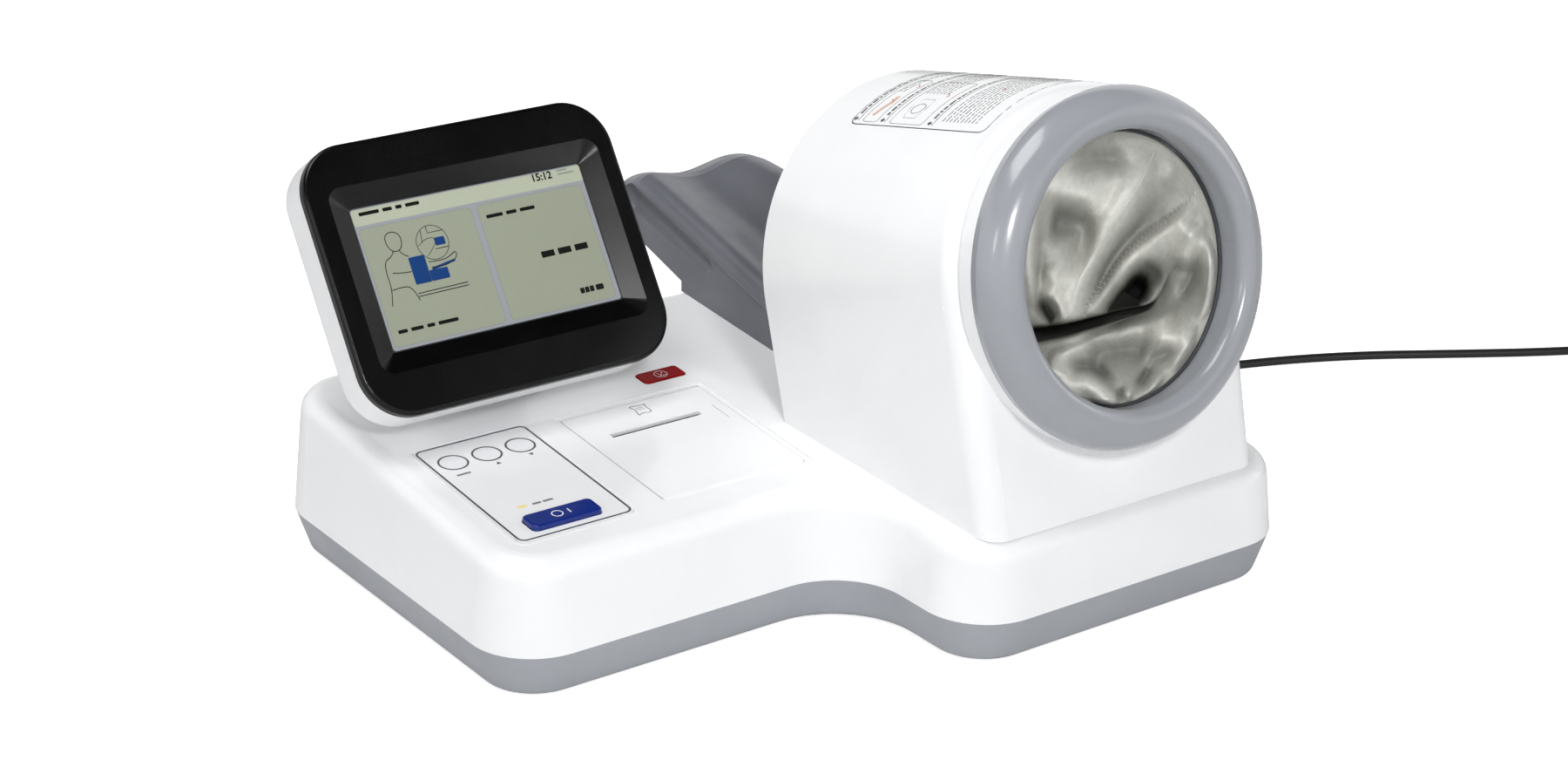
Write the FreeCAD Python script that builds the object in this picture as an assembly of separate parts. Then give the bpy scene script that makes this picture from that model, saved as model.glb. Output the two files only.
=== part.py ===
"""Arm-in blood pressure monitor, as an assembly of separate pieces, in millimetres.

The machine faces -Y, +X is to the right of the person it serves and +Z is up. Its rubber feet stand on
z = 0, and the origin is below the middle of the machine, with its power lead left out of the count.
Three tilted frames hold what does not stand square: the sloping deck of the base (x across, s up the
slope, h off the surface), the tunnel for the arm (x across, u up its face, n out of its mouth) and the
display (x across, v up the glass, w towards the reader).
"""
import FreeCAD, Part
import math
import os

V = FreeCAD.Vector
X_AXIS = V(1, 0, 0)
Y_AXIS = V(0, 1, 0)
Z_AXIS = V(0, 0, 1)

# ---- base: two lobes joined by an S-shaped front, grey tray below, white housing above ----
TUNNEL_X = 112.0               # middle of the tunnel; all places across are worked out from it
LEFT_MARGIN = 27.7             # from the key panel to the base's left side
PANEL_GAP = 21.8               # from the key panel to the printer lid
LID_MARGIN = 8.5               # from the printer lid to the line of the right lobe's side
LOBE_MARGIN = 18.1             # from the tunnel's front to the right lobe's side
RIGHT_MARGIN = 13.0            # from the tunnel's rear arch to the base's right side
BASE_BACK_Y = 173.6
DESK_FRONT_Y = -108.1          # front of the left lobe, which carries the keys
LOBE_FRONT_Y = -217.0          # front of the right lobe, which carries the tunnel
CORNER_R = 40.0
COVE_R = 45.0
FOOT_HEIGHT = 3.0
FOOT_R = 9.0
SEAM_Z = 30.0                  # where the tray and the housing meet
TRAY_TAPER = 8.6               # how much smaller the tray's underside is, all round
TRAY_EDGE_R = 5.0
TRAY_WALL = 4.6
HOUSING_WALL = 3.0
HOUSING_DRAFT = 6.0
DECK_FRONT_Z = 83.7            # height of the deck above the left lobe's front
DECK_SLOPE = 4.567
DECK_EDGE_R = 13.0
LIP_HEIGHT = 4.0
LIP_GAP = 0.2
LIP_T = 1.6
BOSS_R = 5.0
CASE_BOSS_TOP_Z = 14.0         # where the tray's screw bosses end and the housing's begin
CASE_SCREW_R = 1.9
CASE_SCREW_HEAD_R = 3.6
CASE_SCREW_HEAD_H = 2.4
CASE_SCREW_LENGTH = 18.0
SCREW_SINK = 3.0               # depth of the recess for a screw head
DECK_SCREW_GRIP = 12.0         # thread of a deck screw above the deck

# ---- tunnel for the arm ----
RING_Y = -188.9                # centre of the entry ring's widest circle
RING_Z = 213.2
TUNNEL_TILT = 14.0
RING_R = 102.5
RING_CREST_R = 87.0            # where the ring stands furthest out
RING_CREST_N = 17.0
THROAT_R = 78.0
RING_BACK_N = -6.0
SPIGOT_END_N = -14.0
COLLAR_R = 100.8
COLLAR_BORE_R = 84.0
TUNNEL_FACE_N = -16.0
TUNNEL_REAR_N = -186.8
TUNNEL_FRONT_R = 103.5
TUNNEL_REAR_R = 115.0
TUNNEL_REAR_DROP = 3.9         # how far the rear arch sits below the tunnel's axis
TUNNEL_FRONT_LEAN = 1.0        # lean of the side walls towards their feet
TUNNEL_REAR_LEAN = 1.7
TUNNEL_WALL = 3.0
TUNNEL_FOOT_U = -235.0         # the section's legs run this far down before the deck trims them
PEDESTAL_CORNER_R = 14.0
TUNNEL_BOSS_H = 24.0
REAR_PANEL_T = 3.0
FIT = 0.2                      # gap between shells that plug together
DRUM_BORE_R = 88.0
DRUM_WALL = 4.0
DRUM_FLANGE_R = 98.0
DRUM_FLANGE_T = 3.0
BLADDER_END_GAP = 4.0
BLADDER_BORE_R = 78.4
LINER_R = 77.6
LINER_FRONT_N = -3.0
WAIST_HALF_WIDTH = 56.0        # the slack sleeve leaves a wide, low passage at its waist
WAIST_HALF_HEIGHT = 17.0
WAIST_U = -8.0
WAIST_FRONT_N = -62.0
WAIST_REAR_N = -128.0
MOUTH_R = 74.0
MOUTH_FLARE = 0.5
WELL_HALF_WIDTH = 70.0         # hole in the deck below the tunnel
WELL_S1 = 84.0
WELL_FRONT_S = -24.0
NIPPLE_N = -110.0
NIPPLE_R = 2.5
NIPPLE_END_R = 104.0

# ---- arm rest behind the tunnel ----
REST_LEFT = -62.0              # foot of its left wall, off the tunnel's middle
REST_END_Y = 226.6
REST_RISE = 0.263              # climb of its rims, per mm of length
REST_RIM_Z = 116.5             # height of the rims at y = 0
REST_OVERHANG_Y = 159.5        # where it leaves the base
REST_UNDERSIDE_Z = 112.0
REST_UNDERSIDE_RISE = 0.2867
REST_WALL = 3.0
REST_COVER_T = 3.0
REST_GAP_N = 0.6               # gap between the tunnel and the arm rest
REST_RIGHT_MARGIN = 6.0
REST_BOTTOM_Z = 60.0
REST_ROLL = 1.6                # how far the rolled left rim hangs out over its wall
REST_ROLL_DROP = 5.0
REST_SHOULDER = 12.0           # how far below its rims the rest's side walls begin
REST_FLANK_DROP = 8.0
REST_RIM_WIDTH = 12.0          # from the left rim's crest to the start of the trough
REST_RIM_FALL = 1.2
GROOVE_LOW_R = 6.5             # hand groove along the outside of the left wall, wider as it climbs
GROOVE_HIGH_R = 10.0
GROOVE_X = -66.0
GROOVE_DROP = 19.0
GROOVE_START_Y = 130.0
GROOVE_END_GAP = 13.0          # from the groove's last centre to the rest's end
# y, then x off the tunnel's middle and drop below the rims' height: left rim, valley, right rim, flank
REST_STATIONS = (
    (-40.0, -58.5, 0.0, 0.0, 22.0, 56.0, 0.0, 74.0, 12.0),
    (60.0, -58.5, 0.0, -4.0, 17.0, 48.0, 0.0, 70.0, 13.0),
    (150.0, -58.5, 0.0, -9.0, 11.0, 36.0, 1.0, 64.0, 16.0),
    (207.0, -58.0, 1.4, -14.0, 8.5, 17.0, 2.0, 52.0, 18.5),
    (219.0, -54.5, 7.4, -16.0, 12.8, 17.0, 7.6, 54.0, 23.0),
    (228.0, -49.5, 12.6, -19.0, 17.5, 18.0, 12.4, 57.0, 26.0))
REST_CUTS = (-40.0, 60.0, 105.0, 150.0, 180.0, 197.0, 207.0, 213.0, 219.0, 223.5, 228.0)
REST_SCREWS = ((-46.0, 130.0), (54.0, 130.0), (4.0, 240.0))   # off the tunnel's middle, up the deck

# ---- display ----
DISPLAY_SHIFT = 38.6           # the picture's middle, off the panel's
DISPLAY_Y = 82.9
DISPLAY_Z = 190.0
DISPLAY_LEAN = 56.64           # angle of the glass from level
CASE_SHIFT_X = -1.0            # middle of the display's case, off its picture
CASE_SHIFT_V = -0.4
BEZEL_WIDTH = 205.4
BEZEL_HEIGHT = 163.2
BEZEL_CORNER_R = 30.0
BEZEL_FRONT_W = 5.5
BEZEL_BACK_W = -1.0
BEZEL_EDGE_R = 2.5
FRAME_MARGIN = 13.0            # width of the bevelled frame round the picture
FRAME_CORNER_R = 9.0
PICTURE_WIDTH = 154.08
PICTURE_HEIGHT = 85.92
PANEL_OVERLAP = 5.5            # the panel's metal frame, hidden behind the bezel
LCD_T = 5.7
SHELL_BACK_W = -29.0
SHELL_EDGE_R = 8.0
SHELL_WALL = 3.0
HINGE_V = -30.0                # tilt axis, in the display's own frame
HINGE_W = -38.0
KNUCKLE_R = 8.0
KNUCKLE_HALF = 20.0
PIN_R = 3.0
PIN_HEAD_R = 4.6
PIN_HEAD_T = 2.0
RUNNING = 0.05                 # radial clearance of a shaft in its bore
EAR_R = 8.5
EAR_T = 7.0
WASHER_T = 0.8
WASHER_GAP = 0.1
BEZEL_POST = 8.0               # length of the bezel's screw posts
DISPLAY_SCREW_SEAT = 6.0       # shell between a post and the screw's head
DISPLAY_SCREW_LENGTH = 13.0
NECK_FLANGE_T = 3.0
NECK_FLANGE_MARGIN = 9.0
BOARD_T = 1.6

# ---- key panel on the deck ----
PANEL_WIDTH = 75.0
PANEL_S0 = 32.5
PANEL_LENGTH = 121.9
PANEL_CORNER_R = 3.5
PANEL_T = 1.6
PANEL_PROUD = 0.4
PANEL_LEDGE = 4.0
KEY_SIDE = 15.3                # from the panel's side to the middle of the nearest key
KEY_BACK = 22.0                # from the panel's back edge to the keys' row
KEY_R = 8.6
KEY_TRAVEL = 0.6
KEY_GAP = 0.45                 # gap round each key and button
START_SHIFT = -2.0             # the start button's middle, off the panel's
START_WIDTH = 44.8
START_S0 = 39.3
START_DEPTH = 15.6
START_PROUD = 3.4
START_CORNER_R = 3.5
START_TRAVEL = 1.2
STOP_SHIFT = 36.6              # the stop button's middle, off the lid's
STOP_WIDTH = 29.5
STOP_S0 = 164.2
STOP_DEPTH = 13.6
STOP_PROUD = 0.8
STOP_CORNER_R = 2.6
STOP_TRAVEL = 1.0
FLANGE_EXTRA = 1.4             # the hidden flange that keeps a key in its hole
FLANGE_T = 1.2
FLANGE_GAP = 0.4
BUTTON_EDGE_R = 1.2
SWITCH_TOP_H = -8.0
SWITCH_SIZE = 6.0
SWITCH_H = 2.0
SWITCH_GAP = 0.35              # left between a pressed key and its switch
STEM_R = 2.0
LED_SHIFT = -15.1              # the power light, off the panel's middle
LED_S = 68.0
LED_WIDTH = 5.6
LED_DEPTH = 2.6
POST_R = 3.0
SMALL_SCREW_R = 1.2
SMALL_HEAD_R = 2.4
SMALL_HEAD_H = 1.6
SMALL_SCREW_LENGTH = 5.0

# ---- printer ----
LID_WIDTH = 97.4
LID_S0 = 35.6
LID_S1 = 149.4
LID_CORNER_R = 4.0
LID_T = 2.2
LID_TOP_H = -0.5
LID_GAP = 0.6
LID_BEVEL = 1.6
DISH_MARGIN_LEFT = 6.0         # the shallow dish that the lid lies in
DISH_MARGIN_RIGHT = 4.2
DISH_MARGIN_FRONT = 5.0
DISH_MARGIN_REAR = 3.2
DISH_DEPTH = 0.8
DISH_CORNER_R = 6.0
LID_SEAT_GAP = 0.3
LID_FRAME_H = -6.0             # underside of the frame that carries the lid
LID_FRAME_MARGIN = 7.0
BARREL_R = 2.0
LID_PIN_R = 1.0
LID_PIN_LENGTH = 3.5
SLOT_SHIFT = -1.4              # the paper slot's middle, off the lid's
SLOT_LENGTH = 62.8
SLOT_S = 118.7
SLOT_WIDTH = 2.6
SLOT_BEVEL = 2.0
WELL_WIDTH = 84.0
PAPER_S0 = 42.0
PAPER_STEP_S = 98.0
PAPER_S1 = 142.0
PAPER_FLOOR_H = -62.0
MECHANISM_FLOOR_H = -38.0
WELL_WALL = 1.6
ROLL_S = 69.5
ROLL_H = -34.0
ROLL_R = 25.0
ROLL_WIDTH = 57.5
CORE_BORE_R = 6.3
SPINDLE_R = 5.9
CHEEK_X = 31.0                 # inner face of the mechanism's side plates, off its middle
CHEEK_T = 2.0
CHEEK_S0 = 99.5
CHEEK_S1 = 126.0
CHEEK_TOP_H = -5.6
BAR_T = 1.6
PLATEN_S = 113.5
PLATEN_H = -14.0
PLATEN_R = 5.0
PLATEN_HALF = 29.5
PLATEN_SHAFT_R = 2.0
GEAR_MODULE = 0.8
PLATEN_TEETH = 24
PINION_TEETH = 12
GEAR_T = 4.0
GEAR_GAP = 0.5
SHAFT_END = 0.5                # shaft beyond its gear
GEAR_BACKLASH = 0.35
MOTOR_ANGLE = 245.0            # direction from the platen to the motor
MOTOR_R = 7.6
MOTOR_LENGTH = 14.0
MOTOR_SHAFT_R = 1.0
HEAD_T = 4.0
HEAD_GAP = 0.3

# ---- electrics, air system and power ----
MAIN_BOARD_MARGIN = 22.0       # from the base's left side
MAIN_BOARD_Y = 22.0
MAIN_BOARD_WIDTH = 96.0
MAIN_BOARD_DEPTH = 150.0
STANDOFF_H = 8.0
CHIPS = ((-12.0, -12.0, 24.0, 24.0), (20.0, 10.0, 14.0, 20.0), (-40.0, 25.0, 12.0, 18.0))
CHIP_H = 1.8
PLUG_HOUSINGS = ((-38.0, -1, 30.0), (6.0, -1, 22.0), (-30.0, 1, 40.0))     # x, end of the board, width
PLUG_HOUSING_MARGIN = 14.0
PLUG_HOUSING_T = 6.0
PLUG_HOUSING_H = 9.0
CAPACITOR_X = 26.0
CAPACITOR_YS = (-30.0, -44.0)
CAPACITOR_R = 5.0
CAPACITOR_H = 14.0
SUPPLY_SHIFT = -107.0          # off the tunnel's middle
SUPPLY_Y = 128.0
SUPPLY_WIDTH = 110.0
SUPPLY_DEPTH = 54.0
SUPPLY_H = 34.0
PUMP_SHIFT = -76.0
PUMP_Y = -70.0
PUMP_R = 16.0
PUMP_LENGTH = 46.0
PUMP_HEAD = 36.0
PUMP_HEAD_T = 18.0
MOUNT_H = 6.0
BLOCK_SHIFT = 38.0
BLOCK_Y = -60.0
BLOCK_WIDTH = 44.0
BLOCK_DEPTH = 26.0
BLOCK_H = 20.0
VALVE_R = 8.0
VALVE_H = 22.0
HOSE_R = 3.2
SPIGOT_H = 6.0
SPIGOT_MARGIN = 6.0
HOSE_BEND_R = 20.0
INLET_MARGIN = 50.0            # from the base's right side
INLET_Z = 18.0
GLAND_R = 7.0
GLAND_FLANGE_T = 2.5
RELIEF_TIP_R = 4.4
SWITCH_MARGIN = 90.0           # from the base's right side
ROCKER_WIDTH = 20.0
ROCKER_HEIGHT = 12.6
ROCKER_FRAME = 2.4
ROCKER_PIN_R = 1.0
ROCKER_TRAVEL = 12.0           # degrees from on to off

# ---- power lead ----
CORD_R = 3.0
CORD_ROUTE = (
    (190.0, 205.0, 18.0), (191.0, 236.0, 16.0), (198.0, 268.0, 9.5), (217.0, 296.0, 3.6),
    (250.0, 309.0, 3.0), (283.0, 296.0, 3.0), (301.0, 262.0, 3.0), (306.0, 218.0, 3.0),
    (313.0, 168.0, 3.0), (333.0, 117.0, 3.0), (371.0, 77.0, 3.0), (423.0, 51.0, 3.0),
    (478.0, 32.0, 3.0), (530.0, 7.0, 3.0), (584.0, -27.0, 3.0), (642.0, -62.0, 3.0),
    (688.0, -84.0, 3.0), (714.0, -91.5, 3.0))
COIL_X = 698.0
COIL_Y = -134.0
COIL_MEAN_R = 33.0
COIL_TURNS_WIDE = 3
COIL_LAYERS = 2
PLUG_LENGTH = 38.0
PLUG_R = 17.0
PLUG_PIN_R = 2.4
PLUG_PIN_LENGTH = 19.0
PLUG_PIN_PITCH = 19.0
TAIL_LENGTH = 22.0

# ---- derived places ----
LOBE_SIDE_X = TUNNEL_X - TUNNEL_FRONT_R - LOBE_MARGIN
LID_X = LOBE_SIDE_X - LID_MARGIN - LID_WIDTH / 2
PANEL_X = LID_X - LID_WIDTH / 2 - PANEL_GAP - PANEL_WIDTH / 2
BASE_LEFT_X = PANEL_X - PANEL_WIDTH / 2 - LEFT_MARGIN
BASE_RIGHT_X = TUNNEL_X + TUNNEL_REAR_R + RIGHT_MARGIN
DISPLAY_X = PANEL_X + DISPLAY_SHIFT
KEY_PITCH = PANEL_WIDTH / 2 - KEY_SIDE
KEY_S = PANEL_S0 + PANEL_LENGTH - KEY_BACK
START_X = PANEL_X + START_SHIFT
LED_X = PANEL_X + LED_SHIFT
STOP_X = LID_X + STOP_SHIFT
SLOT_X = LID_X + SLOT_SHIFT
MAIN_BOARD_X = BASE_LEFT_X + MAIN_BOARD_MARGIN + MAIN_BOARD_WIDTH / 2
SUPPLY_X = TUNNEL_X + SUPPLY_SHIFT
PUMP_X = TUNNEL_X + PUMP_SHIFT
BLOCK_X = TUNNEL_X + BLOCK_SHIFT
INLET_X = BASE_RIGHT_X - INLET_MARGIN
SWITCH_X = BASE_RIGHT_X - SWITCH_MARGIN
TRAY_FLOOR_Z = FOOT_HEIGHT + HOUSING_WALL
LID_PLACE_H = LID_TOP_H - LID_T
BOARD_TOP_H = SWITCH_TOP_H - SWITCH_H
COIL_OUTER_R = COIL_MEAN_R + COIL_TURNS_WIDE * CORD_R
COIL_INNER_R = COIL_MEAN_R - COIL_TURNS_WIDE * CORD_R
COIL_HEIGHT = COIL_LAYERS * 2 * CORD_R
FAR = 600.0                    # further than any piece reaches, for trimming
CASE_SCREWS = ((BASE_LEFT_X + 21, DESK_FRONT_Y + 42.1), (LOBE_SIDE_X - 25.4, DESK_FRONT_Y + 28.1),
               (BASE_LEFT_X + 22, BASE_BACK_Y - 45.6), (TUNNEL_X - 32, BASE_BACK_Y - 23.6),
               (BASE_RIGHT_X - 22, BASE_BACK_Y - 45.6), (BASE_RIGHT_X - 26, LOBE_FRONT_Y + 67),
               (LOBE_SIDE_X + 31.6, LOBE_FRONT_Y + 35))
FEET = ((BASE_LEFT_X + 50, DESK_FRONT_Y + 36.1), (BASE_LEFT_X + 40, BASE_BACK_Y - 25.6),
        (BASE_RIGHT_X - 34, BASE_BACK_Y - 25.6), (BASE_RIGHT_X - 52, LOBE_FRONT_Y + 31),
        (LOBE_SIDE_X + 49.6, LOBE_FRONT_Y + 31))


def tilted(origin, degrees):
    """Frame that is turned about X, so that its third axis leans back from straight up."""
    return FreeCAD.Placement(origin, FreeCAD.Rotation(X_AXIS, degrees))


DECK = tilted(V(0, DESK_FRONT_Y, DECK_FRONT_Z), DECK_SLOPE)
TUNNEL = tilted(V(TUNNEL_X, RING_Y, RING_Z), 90 - TUNNEL_TILT)
DISPLAY = tilted(V(DISPLAY_X, DISPLAY_Y, DISPLAY_Z), DISPLAY_LEAN)


def placed(shape, frame):
    """Copy of a shape modelled in a tilted frame, moved to its place in the machine."""
    moved = shape.copy()
    moved.Placement = frame.multiply(moved.Placement)
    return moved


# ---------------------------------------------------------------- shared shapes

def block(x0, x1, y0, y1, z0, z1):
    """Box between two corners."""
    return Part.makeBox(x1 - x0, y1 - y0, z1 - z0, V(x0, y0, z0))


def rod(radius, start, end):
    """Cylinder between two points."""
    axis = V(*end) - V(*start)
    return Part.makeCylinder(radius, axis.Length, V(*start), axis)


def sleeve(outer, inner, start, end):
    """Straight tube between two points."""
    return rod(outer, start, end).cut(rod(inner, start, end))


def arc_point(centre_x, centre_y, radius, degrees, z):
    """Point on a circle that lies level at height z."""
    angle = math.radians(degrees)
    return V(centre_x + radius * math.cos(angle), centre_y + radius * math.sin(angle), z)


def outline(arcs, z):
    """Closed wire of arcs (centre x, centre y, radius, from, to) joined by straight lines."""
    edges = []
    for number, (cx, cy, radius, start, end) in enumerate(arcs):
        middle = arc_point(cx, cy, radius, (start + end) / 2, z)
        last = arc_point(cx, cy, radius, end, z)
        edges.append(Part.Arc(arc_point(cx, cy, radius, start, z), middle, last).toShape())
        nx, ny, next_radius, next_start, _ = arcs[(number + 1) % len(arcs)]
        following = arc_point(nx, ny, next_radius, next_start, z)
        if last.distanceToPoint(following) > 1e-6:
            edges.append(Part.LineSegment(last, following).toShape())
    return Part.Wire(edges)


def corners(x0, x1, y0, y1, radius):
    """Arcs of a rectangle with rounded corners."""
    left, right, low, high = x0 + radius, x1 - radius, y0 + radius, y1 - radius
    return ((right, high, radius, 0, 90), (left, high, radius, 90, 180),
            (left, low, radius, 180, 270), (right, low, radius, 270, 360))


def middle_corners(cx, cy, width, height, radius):
    """Arcs of a rounded rectangle about its middle."""
    return corners(cx - width / 2, cx + width / 2, cy - height / 2, cy + height / 2, radius)


def prism(arcs, z0, z1):
    """Upright solid on an outline of arcs."""
    return Part.Face(outline(arcs, z0)).extrude(V(0, 0, z1 - z0))


def frustum(arcs0, z0, arcs1, z1):
    """Tapered solid between two outlines with the same number of arcs."""
    return Part.makeLoft([outline(arcs0, z0), outline(arcs1, z1)], True, True)


def edges_at(shape, z):
    """Edges that lie level at height z."""
    return [edge for edge in shape.Edges
            if abs(edge.BoundBox.ZMin - z) < 1e-4 and abs(edge.BoundBox.ZMax - z) < 1e-4]


def edges_on_deck(shape, h):
    """Edges of a shape that lie a height h off the deck."""
    back = DECK.inverse()
    found = []
    for edge in shape.Edges:
        points = [edge.valueAt(edge.FirstParameter), edge.valueAt(edge.LastParameter),
                  edge.valueAt((edge.FirstParameter + edge.LastParameter) / 2)]
        if all(abs(back.multVec(point).z - h) < 1e-3 for point in points):
            found.append(edge)
    return found


def fused(shapes):
    """One solid from shapes that overlap or touch."""
    whole = shapes[0].fuse(list(shapes[1:]))
    return whole.removeSplitter()


def group(solids):
    """Several separate solids that share a node."""
    return Part.makeCompound(list(solids))


def screw(shank_r, length, head_r, head_h):
    """Pan-head screw, its head's underside at z = 0 and its shank up +Z."""
    head = rod(head_r, (0, 0, -head_h), (0, 0, 0))
    rounding = head_h * 0.4
    head = head.makeFillet(rounding, edges_at(head, -head_h))
    slot = block(-head_r, head_r, -shank_r / 4, shank_r / 4, -head_h, -head_h * 0.55)
    return fused([head.cut(slot), rod(shank_r, (0, 0, 0), (0, 0, length))])


# ---------------------------------------------------------------- base

def base_arcs(inset):
    """Plan of the base, drawn in by an inset all round."""
    left, right = BASE_LEFT_X + inset, BASE_RIGHT_X - inset
    desk, lobe, back = DESK_FRONT_Y + inset, LOBE_FRONT_Y + inset, BASE_BACK_Y - inset
    side = LOBE_SIDE_X + inset
    corner, cove = CORNER_R - inset, COVE_R + inset
    return ((left + corner, desk + corner, corner, 180, 270),
            (side - cove, desk - cove, cove, 90, 0),
            (side + corner, lobe + corner, corner, 180, 270),
            (right - corner, lobe + corner, corner, 270, 360),
            (right - corner, back - corner, corner, 0, 90),
            (left + corner, back - corner, corner, 90, 180))


def base_block(z0, inset0, z1, inset1):
    """Solid over the base's plan, drawn in by different amounts at its two levels."""
    return frustum(base_arcs(inset0), z0, base_arcs(inset1), z1)


def above_deck(h):
    """Everything that lies higher than h over the deck."""
    return placed(block(-FAR, FAR, -FAR, FAR, h, h + FAR), DECK)


def below_deck(h):
    """Everything that lies lower than h over the deck."""
    return placed(block(-FAR, FAR, -FAR, FAR, h - FAR, h), DECK)


def housing_block(inset):
    """The white housing's outer form, or its inside when drawn in by the wall."""
    lean = math.tan(math.radians(HOUSING_DRAFT))
    top = DECK_FRONT_Z + 2 * CORNER_R
    foot = SEAM_Z if inset == 0 else SEAM_Z - HOUSING_WALL
    whole = base_block(foot, inset + (foot - SEAM_Z) * lean, top, inset + (top - SEAM_Z) * lean)
    whole = whole.cut(above_deck(-inset))
    return whole.makeFillet(DECK_EDGE_R - inset, edges_on_deck(whole, -inset))


def case_bosses():
    """Screw posts that hang from the deck down to the tray's own bosses."""
    posts = [rod(BOSS_R, (x, y, CASE_BOSS_TOP_Z), (x, y, DECK_FRONT_Z + CORNER_R)) for x, y in CASE_SCREWS]
    pilot = [rod(CASE_SCREW_R, (x, y, CASE_BOSS_TOP_Z - 1), (x, y, screw_seat_z() + CASE_SCREW_LENGTH + 1))
             for x, y in CASE_SCREWS]
    inside = above_deck(-HOUSING_WALL)
    return [post.cut(inside).cut(hole) for post, hole in zip(posts, pilot)]


def screw_seat_z():
    """Height at which the heads of the case screws bear."""
    return FOOT_HEIGHT + SCREW_SINK


def board_posts(places):
    """Posts under the deck that carry a small board."""
    return [rod(POST_R, (x, s, BOARD_TOP_H), (x, s, -HOUSING_WALL)).cut(
        rod(SMALL_SCREW_R, (x, s, BOARD_TOP_H - 1), (x, s, BOARD_TOP_H + SMALL_SCREW_LENGTH)))
        for x, s in places]


def button_board_posts():
    """Places of the posts under the key panel's board."""
    inset = PANEL_LEDGE + POST_R + 1
    x = PANEL_WIDTH / 2 - inset
    return [(PANEL_X + side * x, s) for side in (-1, 1)
            for s in (PANEL_S0 + PANEL_LENGTH * 0.42, PANEL_S0 + PANEL_LENGTH * 0.62)]


def stop_board_posts():
    """Places of the posts under the stop button's board."""
    x = STOP_WIDTH / 2 + POST_R + 2.5
    return [(STOP_X + side * x, STOP_S0 + STOP_DEPTH / 2) for side in (-1, 1)]


def lid_corners(margin):
    """Plan of the printer lid, grown by a margin."""
    return corners(LID_X - LID_WIDTH / 2 - margin, LID_X + LID_WIDTH / 2 + margin,
                   LID_S0 - margin, LID_S1 + margin, LID_CORNER_R + margin)


def deck_cuts():
    """What is taken out of the housing's deck, in the deck's frame."""
    low = LID_FRAME_H - 1
    panel = corners(PANEL_X - PANEL_WIDTH / 2 - FIT, PANEL_X + PANEL_WIDTH / 2 + FIT,
                    PANEL_S0 - FIT, PANEL_S0 + PANEL_LENGTH + FIT, PANEL_CORNER_R + FIT)
    window = corners(PANEL_X - PANEL_WIDTH / 2 + PANEL_LEDGE, PANEL_X + PANEL_WIDTH / 2 - PANEL_LEDGE,
                     PANEL_S0 + PANEL_LEDGE, PANEL_S0 + PANEL_LENGTH - PANEL_LEDGE, PANEL_CORNER_R)
    dish = corners(LID_X - LID_WIDTH / 2 - DISH_MARGIN_LEFT, LID_X + LID_WIDTH / 2 + DISH_MARGIN_RIGHT,
                   LID_S0 - DISH_MARGIN_FRONT, LID_S1 + DISH_MARGIN_REAR, DISH_CORNER_R)
    stop = corners(STOP_X - STOP_WIDTH / 2 - KEY_GAP, STOP_X + STOP_WIDTH / 2 + KEY_GAP,
                   STOP_S0 - KEY_GAP, STOP_S0 + STOP_DEPTH + KEY_GAP, STOP_CORNER_R + KEY_GAP)
    return [prism(panel, PANEL_PROUD - PANEL_T, 5),
            prism(window, low, 5),
            prism(dish, -DISH_DEPTH, 5),
            prism(lid_corners(LID_GAP), LID_PLACE_H - LID_SEAT_GAP, 5),
            block(SLOT_X - WELL_WIDTH / 2, SLOT_X + WELL_WIDTH / 2, PAPER_S0, PAPER_S1, low, 5),
            block(LID_X - LID_WIDTH / 2 - LID_GAP, LID_X + LID_WIDTH / 2 + LID_GAP,
                  LID_S1 - 2 * BARREL_R - LID_GAP, LID_S1 + LID_GAP, hinge_h() - BARREL_R - LID_GAP, 5),
            prism(stop, low, 5),
            prism(corners(TUNNEL_X - WELL_HALF_WIDTH, TUNNEL_X + WELL_HALF_WIDTH,
                          WELL_FRONT_S, WELL_S1, CORNER_R / 2), low, 5)]


def hinge_h():
    """Height of the printer lid's hinge axis off the deck."""
    return LID_TOP_H - BARREL_R


def hinge_s():
    """Place of the printer lid's hinge axis up the deck."""
    return LID_S1 - BARREL_R


def lid_pin_span(extra):
    """Ends of the two stub pins of the printer lid."""
    half = LID_WIDTH / 2 + LID_PIN_LENGTH + extra
    return (LID_X - half, hinge_s(), hinge_h()), (LID_X + half, hinge_s(), hinge_h())


def upper_housing():
    """White housing of the base: drafted walls, sloping deck, bosses and openings."""
    shell = housing_block(0).cut(housing_block(HOUSING_WALL))
    frame = block(LID_X - LID_WIDTH / 2 - LID_FRAME_MARGIN, LID_X + LID_WIDTH / 2 + LID_FRAME_MARGIN,
                  LID_S0 - LID_FRAME_MARGIN / 2, LID_S1 + LID_FRAME_MARGIN, LID_FRAME_H, -HOUSING_WALL / 2)
    whole = fused([shell, placed(frame, DECK)])
    whole = whole.cut([placed(piece, DECK) for piece in deck_cuts()])
    whole = whole.cut(placed(rod(LID_PIN_R + RUNNING, *lid_pin_span(FIT)), DECK))
    posts = board_posts(button_board_posts()) + board_posts(stop_board_posts())
    whole = fused([whole] + case_bosses() + [placed(piece, DECK) for piece in posts + panel_bridges()])
    return whole.cut(vent_slots())


def panel_bridges():
    """Strips across the key panel's window that carry its board posts."""
    x0 = PANEL_X - PANEL_WIDTH / 2 + PANEL_LEDGE - 1
    x1 = PANEL_X + PANEL_WIDTH / 2 - PANEL_LEDGE + 1
    top = PANEL_PROUD - PANEL_T - FLANGE_GAP
    return [block(x0, x1, s - POST_R, s + POST_R, -HOUSING_WALL, top)
            for s in sorted({s for _, s in button_board_posts()})]


def vent_slots():
    """Row of cooling slots low in the housing's back wall."""
    first, pitch, count = -150.0, 9.0, 12
    return [block(first + number * pitch, first + number * pitch + 4, BASE_BACK_Y - 14, BASE_BACK_Y + 1,
                  SEAM_Z + 12, SEAM_Z + 36) for number in range(count)]


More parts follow.
